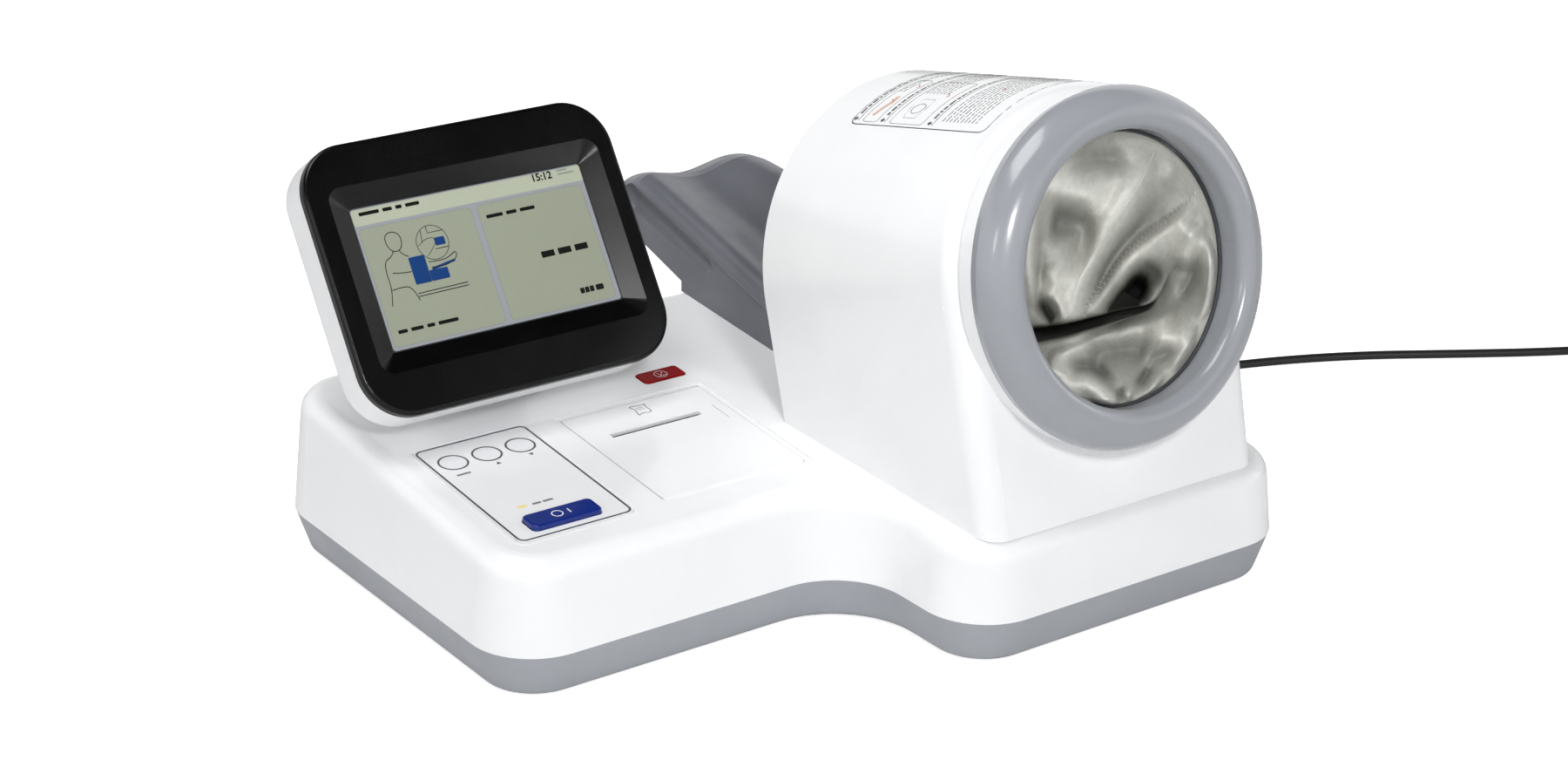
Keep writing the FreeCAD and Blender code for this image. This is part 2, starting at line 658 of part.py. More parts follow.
def tray_inset(z):
    """How far the tray's outside is drawn in at a height."""
    return TRAY_TAPER * (SEAM_Z - z) / (SEAM_Z - FOOT_HEIGHT)


def lower_tray():
    """Grey tray: tapered sides, a lip that locates the housing, bosses and standoffs."""
    outer = base_block(FOOT_HEIGHT, TRAY_TAPER, SEAM_Z, 0)
    outer = outer.makeFillet(TRAY_EDGE_R, edges_at(outer, FOOT_HEIGHT))
    inner = base_block(TRAY_FLOOR_Z, tray_inset(TRAY_FLOOR_Z) + TRAY_WALL, SEAM_Z + 1,
                       tray_inset(SEAM_Z + 1) + TRAY_WALL)
    lean = math.tan(math.radians(HOUSING_DRAFT))
    lip_outer = HOUSING_WALL + LIP_GAP
    lip_top = SEAM_Z + LIP_HEIGHT
    lip = base_block(SEAM_Z - 1, lip_outer, lip_top, lip_outer + LIP_HEIGHT * lean)
    lip = lip.cut(base_block(SEAM_Z - 2, TRAY_WALL, lip_top + 1, TRAY_WALL + LIP_HEIGHT * lean))
    bosses = [rod(BOSS_R, (x, y, FOOT_HEIGHT + 1), (x, y, CASE_BOSS_TOP_Z)) for x, y in CASE_SCREWS]
    standoffs = [rod(POST_R, (x, y, FOOT_HEIGHT + 1), (x, y, TRAY_FLOOR_Z + STANDOFF_H))
                 for x, y in board_screw_places()]
    whole = fused([outer.cut(inner), lip] + bosses + standoffs)
    for x, y in CASE_SCREWS:
        whole = whole.cut(rod(CASE_SCREW_R + FIT, (x, y, FOOT_HEIGHT - 1), (x, y, CASE_BOSS_TOP_Z + 1)))
        whole = whole.cut(rod(CASE_SCREW_HEAD_R + FIT, (x, y, FOOT_HEIGHT - 1), (x, y, screw_seat_z())))
    for x, y in board_screw_places():
        top = TRAY_FLOOR_Z + STANDOFF_H
        whole = whole.cut(rod(SMALL_SCREW_R, (x, y, top - SMALL_SCREW_LENGTH), (x, y, top + 1)))
    whole = whole.cut(rod(GLAND_R - GLAND_FLANGE_T + FIT / 2, (INLET_X, BASE_BACK_Y - 40, INLET_Z),
                          (INLET_X, BASE_BACK_Y + 1, INLET_Z)))
    half_width = (ROCKER_WIDTH + ROCKER_FRAME) / 2
    half_height = (ROCKER_HEIGHT + ROCKER_FRAME) / 2
    opening = block(SWITCH_X - half_width, SWITCH_X + half_width, BASE_BACK_Y - 40, BASE_BACK_Y + 1,
                    INLET_Z - half_height, INLET_Z + half_height)
    return whole.cut(opening)


def rubber_feet():
    """Round rubber feet under the tray."""
    feet = []
    for x, y in FEET:
        foot = rod(FOOT_R, (x, y, 0), (x, y, FOOT_HEIGHT))
        feet.append(foot.makeFillet(FOOT_HEIGHT / 4, edges_at(foot, 0)))
    return group(feet)


def case_screws():
    """Screws that hold the tray to the housing, from below."""
    one = screw(CASE_SCREW_R, CASE_SCREW_LENGTH, CASE_SCREW_HEAD_R, CASE_SCREW_HEAD_H)
    return group(one.translated(V(x, y, screw_seat_z())) for x, y in CASE_SCREWS)


# ---------------------------------------------------------------- tunnel

def tunnel_section(n, inset):
    """Horseshoe outline of the tunnel's cover at a distance n along its axis."""
    share = (n - TUNNEL_FACE_N) / (TUNNEL_REAR_N - TUNNEL_FACE_N)
    radius = TUNNEL_FRONT_R + (TUNNEL_REAR_R - TUNNEL_FRONT_R) * share - inset
    lean = TUNNEL_FRONT_LEAN + (TUNNEL_REAR_LEAN - TUNNEL_FRONT_LEAN) * share
    drop = TUNNEL_REAR_DROP * share
    left = arc_point(0, -drop, radius, 180 + lean, n)
    right = arc_point(0, -drop, radius, -lean, n)
    reach = (left.y - TUNNEL_FOOT_U) * math.tan(math.radians(lean))
    left_foot = V(left.x + reach, TUNNEL_FOOT_U, n)
    right_foot = V(right.x - reach, TUNNEL_FOOT_U, n)
    return Part.Wire([Part.Arc(right, arc_point(0, -drop, radius, 90, n), left).toShape(),
                      Part.LineSegment(left, left_foot).toShape(),
                      Part.LineSegment(left_foot, right_foot).toShape(),
                      Part.LineSegment(right_foot, right).toShape()])


def tunnel_body(n0, n1, inset):
    """Solid between two of the tunnel's sections."""
    return Part.makeLoft([tunnel_section(n0, inset), tunnel_section(n1, inset)], True, True)


def pedestal_corners(solid, n):
    """Front edges of the two side walls below the ring."""
    low = [edge for edge in edges_at(solid, n) if edge.BoundBox.YMax < TUNNEL_FRONT_R / 2]
    return [edge for edge in low if abs(edge.Vertexes[0].Y - edge.Vertexes[-1].Y) > RING_R]


def rounded_tunnel(n0, n1, inset):
    """The tunnel's form between two sections, with the front edges of its side walls rounded."""
    body = tunnel_body(n0, n1, inset)
    return body.makeFillet(PEDESTAL_CORNER_R - inset, pedestal_corners(body, n1))


def tunnel_housing():
    """White cover over the tunnel: a tapered arch on straight walls, with a collar at its mouth."""
    outer = rounded_tunnel(TUNNEL_REAR_N, TUNNEL_FACE_N, 0)
    inner = rounded_tunnel(TUNNEL_REAR_N - 1, TUNNEL_FACE_N - TUNNEL_WALL, TUNNEL_WALL)
    collar = rod(COLLAR_R, (0, 0, TUNNEL_FACE_N - 1), (0, 0, RING_BACK_N))
    whole = fused([outer.cut(inner), collar])
    whole = whole.cut(rod(COLLAR_BORE_R, (0, 0, TUNNEL_FACE_N - TUNNEL_WALL - 1), (0, 0, RING_BACK_N + 1)))
    whole = placed(whole, TUNNEL).cut(below_deck(0))
    solid = placed(outer, TUNNEL)
    bosses = []
    for x, s in tunnel_screw_places():
        side = math.copysign(1, x - TUNNEL_X)
        wall = sorted((x, x + side * 3 * BOSS_R))
        rib = block(*wall, s - TUNNEL_WALL / 2, s + TUNNEL_WALL / 2, 0, TUNNEL_BOSS_H)
        bosses.append(placed(fused([rod(BOSS_R, (x, s, 0), (x, s, TUNNEL_BOSS_H)), rib]), DECK).common(solid))
    holes = [placed(rod(CASE_SCREW_R, (x, s, -1), (x, s, DECK_SCREW_GRIP + 2)), DECK)
             for x, s in tunnel_screw_places()]
    return fused([whole] + bosses).cut(holes)


def tunnel_screw_places():
    """Screw places, across and up the deck, just inside the tunnel's side walls."""
    reach = TUNNEL_FRONT_R - TUNNEL_WALL - BOSS_R + 1.2
    return [(TUNNEL_X + side * reach, s) for side in (-1, 1) for s in (-62.0, 20.0)]


def deck_screws():
    """Screws from below the deck into the tunnel cover and the arm rest."""
    one = screw(CASE_SCREW_R, HOUSING_WALL + DECK_SCREW_GRIP, CASE_SCREW_HEAD_R, CASE_SCREW_HEAD_H)
    places = tunnel_screw_places() + rest_screw_places()
    return group(placed(one.translated(V(x, s, -HOUSING_WALL)), DECK) for x, s in places)


def rear_panel():
    """Plate that closes the tunnel's rear round the exit opening."""
    back = TUNNEL_REAR_N + 1
    plate = tunnel_body(back, back + REAR_PANEL_T, TUNNEL_WALL + FIT)
    plate = plate.cut(rod(LINER_R + FIT, (0, 0, back - 1), (0, 0, back + REAR_PANEL_T + 1)))
    return placed(plate, TUNNEL).cut(below_deck(0))


def entry_ring():
    """Glossy grey ring round the mouth: steep outside, crest near the opening, spigot in the collar."""
    widest = V(RING_R, 0, 0)
    crest = V(RING_CREST_R, 0, RING_CREST_N)
    throat_top = V(THROAT_R, 0, RING_CREST_N * 0.5)
    throat_end = V(THROAT_R, 0, LINER_FRONT_N)
    spigot_in = V(COLLAR_BORE_R - FIT - 2.4, 0, SPIGOT_END_N)
    spigot_out = V(COLLAR_BORE_R - FIT, 0, SPIGOT_END_N)
    spigot_top = V(COLLAR_BORE_R - FIT, 0, RING_BACK_N)
    back = V(RING_R - 1.4, 0, RING_BACK_N)
    shoulder = (widest + crest) * 0.5 + V(1, 0, 1) * 2.6
    inside = (crest + throat_top) * 0.5 + V(-1, 0, 1) * 2.2
    lines = ((throat_top, throat_end), (throat_end, V(spigot_in.x, 0, LINER_FRONT_N)),
             (V(spigot_in.x, 0, LINER_FRONT_N), spigot_in), (spigot_in, spigot_out),
             (spigot_out, spigot_top), (spigot_top, back), (back, widest))
    edges = [Part.Arc(widest, shoulder, crest).toShape(), Part.Arc(crest, inside, throat_top).toShape()]
    edges += [Part.LineSegment(start, end).toShape() for start, end in lines]
    ring = Part.Face(Part.Wire(edges)).revolve(V(0, 0, 0), Z_AXIS, 360)
    return placed(ring, TUNNEL)


def drum_span():
    """Where the drum begins and ends along the tunnel."""
    return TUNNEL_REAR_N + 1 + REAR_PANEL_T, TUNNEL_FACE_N - TUNNEL_WALL


def cuff_drum():
    """Rigid drum that holds the cuff, flanged against the inside of the tunnel's face."""
    rear, front = drum_span()
    outer = DRUM_BORE_R + DRUM_WALL
    drum = fused([rod(outer, (0, 0, rear), (0, 0, front)),
                  rod(DRUM_FLANGE_R, (0, 0, front - DRUM_FLANGE_T), (0, 0, front))])
    drum = drum.cut(rod(DRUM_BORE_R, (0, 0, rear - 1), (0, 0, front + 1)))
    drum = drum.cut(rod(NIPPLE_R + FIT, (0, 0, NIPPLE_N), (0, -NIPPLE_END_R, NIPPLE_N)))
    return placed(drum.common(rounded_tunnel(rear, front, TUNNEL_WALL + 2 * FIT)), TUNNEL)


def cuff_bladder():
    """Air bladder round the sleeve, with the nipple that its hose pushes onto."""
    rear, front = drum_span()
    bladder = sleeve(DRUM_BORE_R - FIT, BLADDER_BORE_R, (0, 0, rear + BLADDER_END_GAP),
                     (0, 0, front - BLADDER_END_GAP))
    nipple = rod(NIPPLE_R, (0, -BLADDER_BORE_R - 2, NIPPLE_N), (0, -NIPPLE_END_R, NIPPLE_N))
    return placed(fused([bladder, nipple]), TUNNEL)


def ellipse_wire(half_width, half_height, u, n):
    """Level ellipse in the tunnel's frame."""
    curve = Part.Ellipse(V(0, u, n), half_width, half_height)
    return Part.Wire(curve.toShape())


def cuff_liner():
    """Slack cloth sleeve as a simple solid: full at both ends, nearly closed at its waist."""
    rear, front = TUNNEL_REAR_N, LINER_FRONT_N
    outer = rod(LINER_R, (0, 0, rear), (0, 0, front))
    passage = Part.makeLoft([ellipse_wire(MOUTH_R + MOUTH_FLARE, MOUTH_R, 0, front + 1),
                             ellipse_wire(WAIST_HALF_WIDTH, WAIST_HALF_HEIGHT, WAIST_U, WAIST_FRONT_N),
                             ellipse_wire(WAIST_HALF_WIDTH, WAIST_HALF_HEIGHT, WAIST_U, WAIST_REAR_N),
                             ellipse_wire(MOUTH_R + MOUTH_FLARE, MOUTH_R, 0, rear - 1)], True, True)
    return placed(outer.cut(passage), TUNNEL)


# ---------------------------------------------------------------- arm rest

def rest_station(y):
    """The arm rest's shape at a place along it: a smooth curve through the rows of its stations."""
    last = len(REST_STATIONS) - 2
    number = next((i for i in range(last + 1) if y <= REST_STATIONS[i + 1][0]), last)
    rows = [REST_STATIONS[min(max(number + step, 0), last + 1)] for step in (-1, 0, 1, 2)]
    span = rows[2][0] - rows[1][0]
    t = (y - rows[1][0]) / span
    shape = []
    for before, start, end, after in zip(*[row[1:] for row in rows]):
        rise0 = (end - before) * span / (rows[2][0] - rows[0][0])
        rise1 = (after - start) * span / (rows[3][0] - rows[1][0])
        shape.append(start * (1 - t) ** 2 * (1 + 2 * t) + end * t * t * (3 - 2 * t)
                     + rise0 * t * (1 - t) ** 2 - rise1 * t * t * (1 - t))
    return shape


def rest_section(y, inset):
    """Closed outline of the arm rest across the machine."""
    rim, rim_drop, valley, valley_drop, far, far_drop, flank, flank_drop = rest_station(y)
    top = REST_RIM_Z + REST_RISE * y - inset
    wall = TUNNEL_X + REST_LEFT + inset
    right = TUNNEL_X + flank + REST_RIGHT_MARGIN - inset
    shoulder = V(wall, y, top - rim_drop - REST_SHOULDER + inset)
    points = [shoulder, V(wall - REST_ROLL, y, top - rim_drop - REST_ROLL_DROP + inset),
              V(TUNNEL_X + rim, y, top - rim_drop),
              V(TUNNEL_X + rim + REST_RIM_WIDTH, y, top - rim_drop - REST_RIM_FALL),
              V(TUNNEL_X + valley, y, top - valley_drop), V(TUNNEL_X + far, y, top - far_drop),
              V(TUNNEL_X + flank, y, top - flank_drop),
              V(right, y, top - flank_drop - REST_FLANK_DROP + inset)]
    crest = Part.BSplineCurve()
    crest.interpolate(points)
    left_foot = V(wall, y, REST_BOTTOM_Z)
    right_foot = V(right, y, REST_BOTTOM_Z)
    return Part.Wire([crest.toShape(), Part.LineSegment(points[-1], right_foot).toShape(),
                      Part.LineSegment(right_foot, left_foot).toShape(),
                      Part.LineSegment(left_foot, shoulder).toShape()])


def rest_body(inset):
    """Arm rest's form through all its sections."""
    return Part.makeLoft([rest_section(y, inset) for y in REST_CUTS], True, True)


def rest_side(lift, end):
    """Side view of the arm rest: on the deck, then a step up and a rising overhang."""
    back = FAR
    y0 = -back / 4
    y1 = REST_OVERHANG_Y
    slope = math.tan(math.radians(DECK_SLOPE))
    deck0 = DECK_FRONT_Z + (y0 - DESK_FRONT_Y) * slope
    deck1 = DECK_FRONT_Z + (y1 - DESK_FRONT_Y) * slope
    high = REST_UNDERSIDE_Z + lift + (end - y1) * REST_UNDERSIDE_RISE
    points = [V(-back, y0, deck0), V(-back, y1, deck1), V(-back, y1, REST_UNDERSIDE_Z + lift),
              V(-back, end, high), V(-back, end, high + back), V(-back, y0, high + back)]
    return Part.Face(Part.makePolygon(points + points[:1])).extrude(V(2 * back, 0, 0))


def behind_tunnel():
    """Everything behind the exit ring."""
    limit = TUNNEL_REAR_N - REST_GAP_N
    return placed(block(-FAR, FAR, -FAR, FAR, limit - FAR, limit), TUNNEL)


def hand_groove(margin):
    """Round-ended cone along the outside of the left wall that leaves the hand groove, grown by a margin."""
    ends = [V(TUNNEL_X + GROOVE_X, y, REST_RIM_Z + REST_RISE * y - GROOVE_DROP)
            for y in (GROOVE_START_Y, REST_END_Y - GROOVE_END_GAP)]
    low_r, high_r = GROOVE_LOW_R + margin, GROOVE_HIGH_R + margin
    run = ends[1] - ends[0]
    body = Part.makeCone(low_r, high_r, run.Length, ends[0], run)
    return body.fuse([Part.makeSphere(low_r, ends[0]), Part.makeSphere(high_r, ends[1])])


def arm_rest():
    """Dark grey trough that climbs away behind the tunnel and overhangs the base."""
    outer = rest_body(0).common(rest_side(0, REST_END_Y)).common(behind_tunnel())
    inner = rest_body(REST_WALL).common(rest_side(-REST_WALL, REST_END_Y - 3 * REST_WALL))
    inner = inner.cut(hand_groove(REST_WALL)).translated(V(0, 0, -0.01))
    whole = outer.cut(hand_groove(0)).cut(inner)
    bosses = [placed(rod(BOSS_R, (x, s, 0), (x, s, FAR / 4)), DECK).common(outer)
              for x, s in rest_screw_places()]
    holes = [placed(rod(CASE_SCREW_R, (x, s, -1), (x, s, DECK_SCREW_GRIP + 1)), DECK)
             for x, s in rest_screw_places()]
    return fused([whole] + bosses).cut(holes)


def rest_screw_places():
    """Screw places under the arm rest, across and up the deck."""
    return [(TUNNEL_X + x, s) for x, s in REST_SCREWS]


def rest_cover():
    """Plate that closes the underside of the arm rest's overhang."""
    body = rest_body(REST_WALL + FIT)
    end = REST_END_Y - 3 * REST_WALL - FIT
    plate = body.common(rest_side(0, end)).cut(rest_side(REST_COVER_T, end + 1))
    behind = block(-FAR, FAR, REST_OVERHANG_Y + FIT, FAR, -FAR, FAR)
    return plate.common(behind)


# ---------------------------------------------------------------- display

def display_bezel():
    """Black front frame with a rounded edge and a bevelled surround for the picture."""
    outer = prism(shell_arcs(0), BEZEL_BACK_W, BEZEL_FRONT_W)
    outer = outer.makeFillet(BEZEL_EDGE_R, edges_at(outer, BEZEL_FRONT_W))
    wide = middle_corners(0, 0, PICTURE_WIDTH + 2 * FRAME_MARGIN, PICTURE_HEIGHT + 2 * FRAME_MARGIN,
                          FRAME_CORNER_R)
    narrow = middle_corners(0, 0, PICTURE_WIDTH + 1, PICTURE_HEIGHT + 1, 1)
    pocket = prism(lcd_arcs(FIT), BEZEL_BACK_W - 1, 0)
    lip_end = BEZEL_BACK_W - LIP_HEIGHT
    lip = prism(shell_arcs(SHELL_WALL + FIT), lip_end, BEZEL_BACK_W)
    lip = lip.cut(prism(shell_arcs(SHELL_WALL + FIT + LIP_T), lip_end - 1, BEZEL_BACK_W + 1))
    whole = fused([outer, lip]).cut([frustum(narrow, FIT, wide, BEZEL_FRONT_W + 0.01), pocket,
                                     prism(narrow, BEZEL_BACK_W - 1, BEZEL_FRONT_W + 1)])
    posts = [sleeve(BOSS_R, SMALL_SCREW_R, (x, y, BEZEL_BACK_W - BEZEL_POST), (x, y, BEZEL_BACK_W))
             for x, y in display_screw_places()]
    return placed(fused([whole] + posts), DISPLAY)


def lcd_arcs(margin):
    """Outline of the panel's metal frame."""
    return middle_corners(0, 0, PICTURE_WIDTH + 2 * (PANEL_OVERLAP + margin),
                          PICTURE_HEIGHT + 2 * (PANEL_OVERLAP + margin) + 6, 1.5)


def shell_arcs(inset):
    """Outline of the display's case, drawn in by an inset."""
    return middle_corners(CASE_SHIFT_X, CASE_SHIFT_V, BEZEL_WIDTH - 2 * inset, BEZEL_HEIGHT - 2 * inset,
                          BEZEL_CORNER_R - inset)


def display_screw_places():
    """Screw places of the display's case, off its middle."""
    x = BEZEL_WIDTH / 2 - BEZEL_CORNER_R * 0.55
    y = BEZEL_HEIGHT / 2 - BEZEL_CORNER_R * 0.55
    return [(CASE_SHIFT_X + side * x, CASE_SHIFT_V + end * y) for side in (-1, 1) for end in (-1, 1)]


def display_shell():
    """White back of the display with the hinge knuckle on it."""
    outer = prism(shell_arcs(0), SHELL_BACK_W, BEZEL_BACK_W)
    outer = outer.makeFillet(SHELL_EDGE_R, edges_at(outer, SHELL_BACK_W))
    inner = prism(shell_arcs(SHELL_WALL), SHELL_BACK_W + SHELL_WALL, BEZEL_BACK_W + 1)
    inner = inner.makeFillet(SHELL_EDGE_R - SHELL_WALL, edges_at(inner, SHELL_BACK_W + SHELL_WALL))
    knuckle = rod(KNUCKLE_R, (-KNUCKLE_HALF, HINGE_V, HINGE_W), (KNUCKLE_HALF, HINGE_V, HINGE_W))
    web = block(-KNUCKLE_HALF, KNUCKLE_HALF, HINGE_V - KNUCKLE_R, HINGE_V + KNUCKLE_R,
                HINGE_W, SHELL_BACK_W + 1)
    screw_top = BEZEL_BACK_W - BEZEL_POST
    posts = [rod(BOSS_R, (x, y, SHELL_BACK_W + SHELL_WALL), (x, y, screw_top))
             for x, y in display_screw_places()]
    bores = [rod(SMALL_SCREW_R + FIT, (x, y, SHELL_BACK_W - 1), (x, y, screw_top + 1))
             for x, y in display_screw_places()]
    sinks = [rod(SMALL_HEAD_R + FIT, (x, y, SHELL_BACK_W - 1), (x, y, display_screw_w())) for x, y
             in display_screw_places()]
    bores.append(rod(PIN_R + RUNNING, (-FAR, HINGE_V, HINGE_W), (FAR, HINGE_V, HINGE_W)))
    whole = fused([outer.cut(inner), knuckle, web] + posts)
    return placed(whole.cut(bores + sinks), DISPLAY)


def display_screw_w():
    """Where the heads of the display's screws bear."""
    return BEZEL_BACK_W - BEZEL_POST - DISPLAY_SCREW_SEAT


def display_screws():
    """Screws from the back of the display into its bezel."""
    one = screw(SMALL_SCREW_R, DISPLAY_SCREW_LENGTH, SMALL_HEAD_R, SMALL_HEAD_H)
    return group(placed(one.translated(V(x, y, display_screw_w())), DISPLAY)
                 for x, y in display_screw_places())


def lcd_panel():
    """Colour display panel, glass face level with w = 0."""
    return placed(prism(lcd_arcs(0), -LCD_T, 0), DISPLAY)


def hinge_point():
    """Middle of the display's tilt axis in the machine."""
    return DISPLAY.multVec(V(0, HINGE_V, HINGE_W))


def display_neck():
    """White pillar on the deck with two ears for the tilt pin."""
    point = hinge_point()
    inner = KNUCKLE_HALF + WASHER_T + 2 * WASHER_GAP
    outer = inner + EAR_T
    ears = []
    for side in (-1, 1):
        x0, x1 = sorted((point.x + side * inner, point.x + side * outer))
        ears.append(rod(EAR_R, (x0, point.y, point.z), (x1, point.y, point.z)))
        ears.append(block(x0, x1, point.y - EAR_R, point.y + EAR_R, DECK_FRONT_Z, point.z))
    yoke = block(point.x - outer, point.x + outer, point.y - EAR_R, point.y + EAR_R, DECK_FRONT_Z,
                 point.z - KNUCKLE_R - 6)
    flange = placed(prism(corners(*neck_flange_span(), CORNER_R / 6), 0, NECK_FLANGE_T), DECK)
    whole = fused(ears + [yoke, flange]).cut(below_deck(0))
    whole = whole.cut(rod(PIN_R, (-FAR, point.y, point.z), (FAR, point.y, point.z)))
    whole = whole.cut(placed(neck_duct(-1, NECK_FLANGE_T + 6), DECK))
    holes = [placed(rod(CASE_SCREW_R, (x, s, -1), (x, s, NECK_FLANGE_T + 1)), DECK)
             for x, s in neck_screw_places()]
    return whole.cut(holes)


def neck_flange_span():
    """Corners of the neck's foot on the deck: x from, x to, s from, s to."""
    point = hinge_point()
    s = DECK.inverse().multVec(V(point.x, point.y, DECK_FRONT_Z + 16)).y
    half = KNUCKLE_HALF + WASHER_T + EAR_T + NECK_FLANGE_MARGIN
    depth = EAR_R + NECK_FLANGE_MARGIN
    return point.x - half, point.x + half, s - depth, s + depth


def neck_duct(h0, h1):
    """Cable way up into the neck's foot."""
    x0, x1, s0, s1 = neck_flange_span()
    return rod(5.0, ((x0 + x1) / 2, (s0 + s1) / 2, h0), ((x0 + x1) / 2, (s0 + s1) / 2, h1))


def neck_screw_places():
    """Screw places in the corners of the neck's foot."""
    x0, x1, s0, s1 = neck_flange_span()
    inset = CORNER_R / 7
    return [(x, s) for x in (x0 + inset, x1 - inset) for s in (s0 + inset, s1 - inset)]


def neck_screws():
    """Screws from below the deck into the neck's foot."""
    one = screw(CASE_SCREW_R, HOUSING_WALL + NECK_FLANGE_T, CASE_SCREW_HEAD_R, CASE_SCREW_HEAD_H)
    return group(placed(one.translated(V(x, s, -HOUSING_WALL)), DECK) for x, s in neck_screw_places())


def hinge_pin():
    """Steel tilt pin, headed at one end and peened at the other."""
    point = hinge_point()
    half = KNUCKLE_HALF + WASHER_T + 2 * WASHER_GAP + EAR_T
    pin = rod(PIN_R, (point.x - half - PIN_HEAD_T, point.y, point.z),
              (point.x + half + PIN_HEAD_T, point.y, point.z))
    heads = [rod(PIN_HEAD_R, (point.x - side * half, point.y, point.z),
                 (point.x - side * (half + PIN_HEAD_T), point.y, point.z)) for side in (-1, 1)]
    return fused([pin] + heads)


def hinge_washers():
    """Friction washers between the knuckle and the ears."""
    point = hinge_point()
    rings = []
    for side in (-1, 1):
        x0 = point.x + side * (KNUCKLE_HALF + WASHER_GAP)
        rings.append(sleeve(KNUCKLE_R - 0.5, PIN_R + RUNNING, (x0, point.y, point.z),
                            (x0 + side * WASHER_T, point.y, point.z)))
    return group(rings)


# ---------------------------------------------------------------- keys

def key_places():
    """Middles of the three round keys, left to right."""
    return [(PANEL_X + side * KEY_PITCH, KEY_S) for side in (-1, 0, 1)]


def start_arcs(margin):
    """Outline of the start button, grown by a margin."""
    return corners(START_X - START_WIDTH / 2 - margin, START_X + START_WIDTH / 2 + margin,
                   START_S0 - margin, START_S0 + START_DEPTH + margin, START_CORNER_R + margin)


def stop_arcs(margin):
    """Outline of the stop button, grown by a margin."""
    return corners(STOP_X - STOP_WIDTH / 2 - margin, STOP_X + STOP_WIDTH / 2 + margin,
                   STOP_S0 - margin, STOP_S0 + STOP_DEPTH + margin, STOP_CORNER_R + margin)


def led_arcs(margin):
    """Outline of the power light's window."""
    return middle_corners(LED_X, LED_S, LED_WIDTH + 2 * margin, LED_DEPTH + 2 * margin, 0.8 + margin)


def control_panel():
    """White key panel, let into the deck and standing slightly proud."""
    bottom = PANEL_PROUD - PANEL_T
    plate = prism(corners(PANEL_X - PANEL_WIDTH / 2, PANEL_X + PANEL_WIDTH / 2, PANEL_S0,
                          PANEL_S0 + PANEL_LENGTH, PANEL_CORNER_R), bottom, PANEL_PROUD)
    plate = plate.makeFillet(PANEL_PROUD / 2, edges_at(plate, PANEL_PROUD))
    holes = [rod(KEY_R + KEY_GAP, (x, s, bottom - 1), (x, s, PANEL_PROUD + 1)) for x, s in key_places()]
    holes.append(prism(start_arcs(KEY_GAP), bottom - 1, PANEL_PROUD + 1))
    holes.append(prism(led_arcs(0), bottom - 1, PANEL_PROUD + 1))
    return placed(plate.cut(holes), DECK)


def cap_with_stem(cap, flange, under, middle, travel):
    """Key cap with a flange below the surface it comes through and a stem down to its switch."""
    x, s = middle
    stem_end = SWITCH_TOP_H + travel + SWITCH_GAP
    stem = rod(STEM_R, (x, s, stem_end), (x, s, under - FLANGE_GAP))
    return placed(fused([cap, flange, stem]), DECK)


def round_key(number):
    """One of the three flush round keys."""
    x, s = key_places()[number]
    under = PANEL_PROUD - PANEL_T
    top = PANEL_PROUD
    cap = rod(KEY_R, (x, s, under - FLANGE_GAP - FLANGE_T / 2), (x, s, top))
    cap = cap.makeFillet(PANEL_PROUD / 2, edges_at(cap, top))
    flange = rod(KEY_R + FLANGE_EXTRA, (x, s, under - FLANGE_GAP - FLANGE_T), (x, s, under - FLANGE_GAP))
    return cap_with_stem(cap, flange, under, (x, s), KEY_TRAVEL)


def start_button():
    """Raised blue start button."""
    under = PANEL_PROUD - PANEL_T
    cap = prism(start_arcs(0), under - FLANGE_GAP - FLANGE_T / 2, START_PROUD)
    cap = cap.makeFillet(BUTTON_EDGE_R, edges_at(cap, START_PROUD))
    flange = prism(start_arcs(FLANGE_EXTRA), under - FLANGE_GAP - FLANGE_T, under - FLANGE_GAP)
    return cap_with_stem(cap, flange, under, (START_X, START_S0 + START_DEPTH / 2), START_TRAVEL)


def stop_button():
    """Red stop button in the deck."""
    under = -HOUSING_WALL
    cap = prism(stop_arcs(0), under - FLANGE_GAP - FLANGE_T / 2, STOP_PROUD)
    cap = cap.makeFillet(STOP_PROUD * 0.75, edges_at(cap, STOP_PROUD))
    flange = prism(stop_arcs(FLANGE_EXTRA), under - FLANGE_GAP - FLANGE_T, under - FLANGE_GAP)
    return cap_with_stem(cap, flange, under, (STOP_X, STOP_S0 + STOP_DEPTH / 2), STOP_TRAVEL)


def power_light():
    """Light pipe of the power lamp, down to its board."""
    pipe = prism(led_arcs(0), BOARD_TOP_H, PANEL_PROUD)
    return placed(pipe, DECK)


def button_board():
    """Board under the key panel."""
    margin = PANEL_LEDGE + 1
    board = prism(corners(PANEL_X - PANEL_WIDTH / 2 + margin, PANEL_X + PANEL_WIDTH / 2 - margin,
                          PANEL_S0 + margin, PANEL_S0 + PANEL_LENGTH - margin, 2),
                  BOARD_TOP_H - BOARD_T, BOARD_TOP_H)
    holes = [rod(SMALL_SCREW_R + FIT, (x, s, BOARD_TOP_H - 3), (x, s, BOARD_TOP_H + 1))
             for x, s in button_board_posts()]
    return placed(board.cut(holes), DECK)


def stop_board():
    """Small board under the stop button."""
    x0, x1 = (x for x, _ in stop_board_posts())
    s = STOP_S0 + STOP_DEPTH / 2
    board = prism(corners(x0 - POST_R - 1, x1 + POST_R + 1, s - STOP_DEPTH / 2, s + STOP_DEPTH / 2, 2),
                  BOARD_TOP_H - BOARD_T, BOARD_TOP_H)
    holes = [rod(SMALL_SCREW_R + FIT, (x, s, BOARD_TOP_H - 3), (x, s, BOARD_TOP_H + 1)) for x in (x0, x1)]
    return placed(board.cut(holes), DECK)


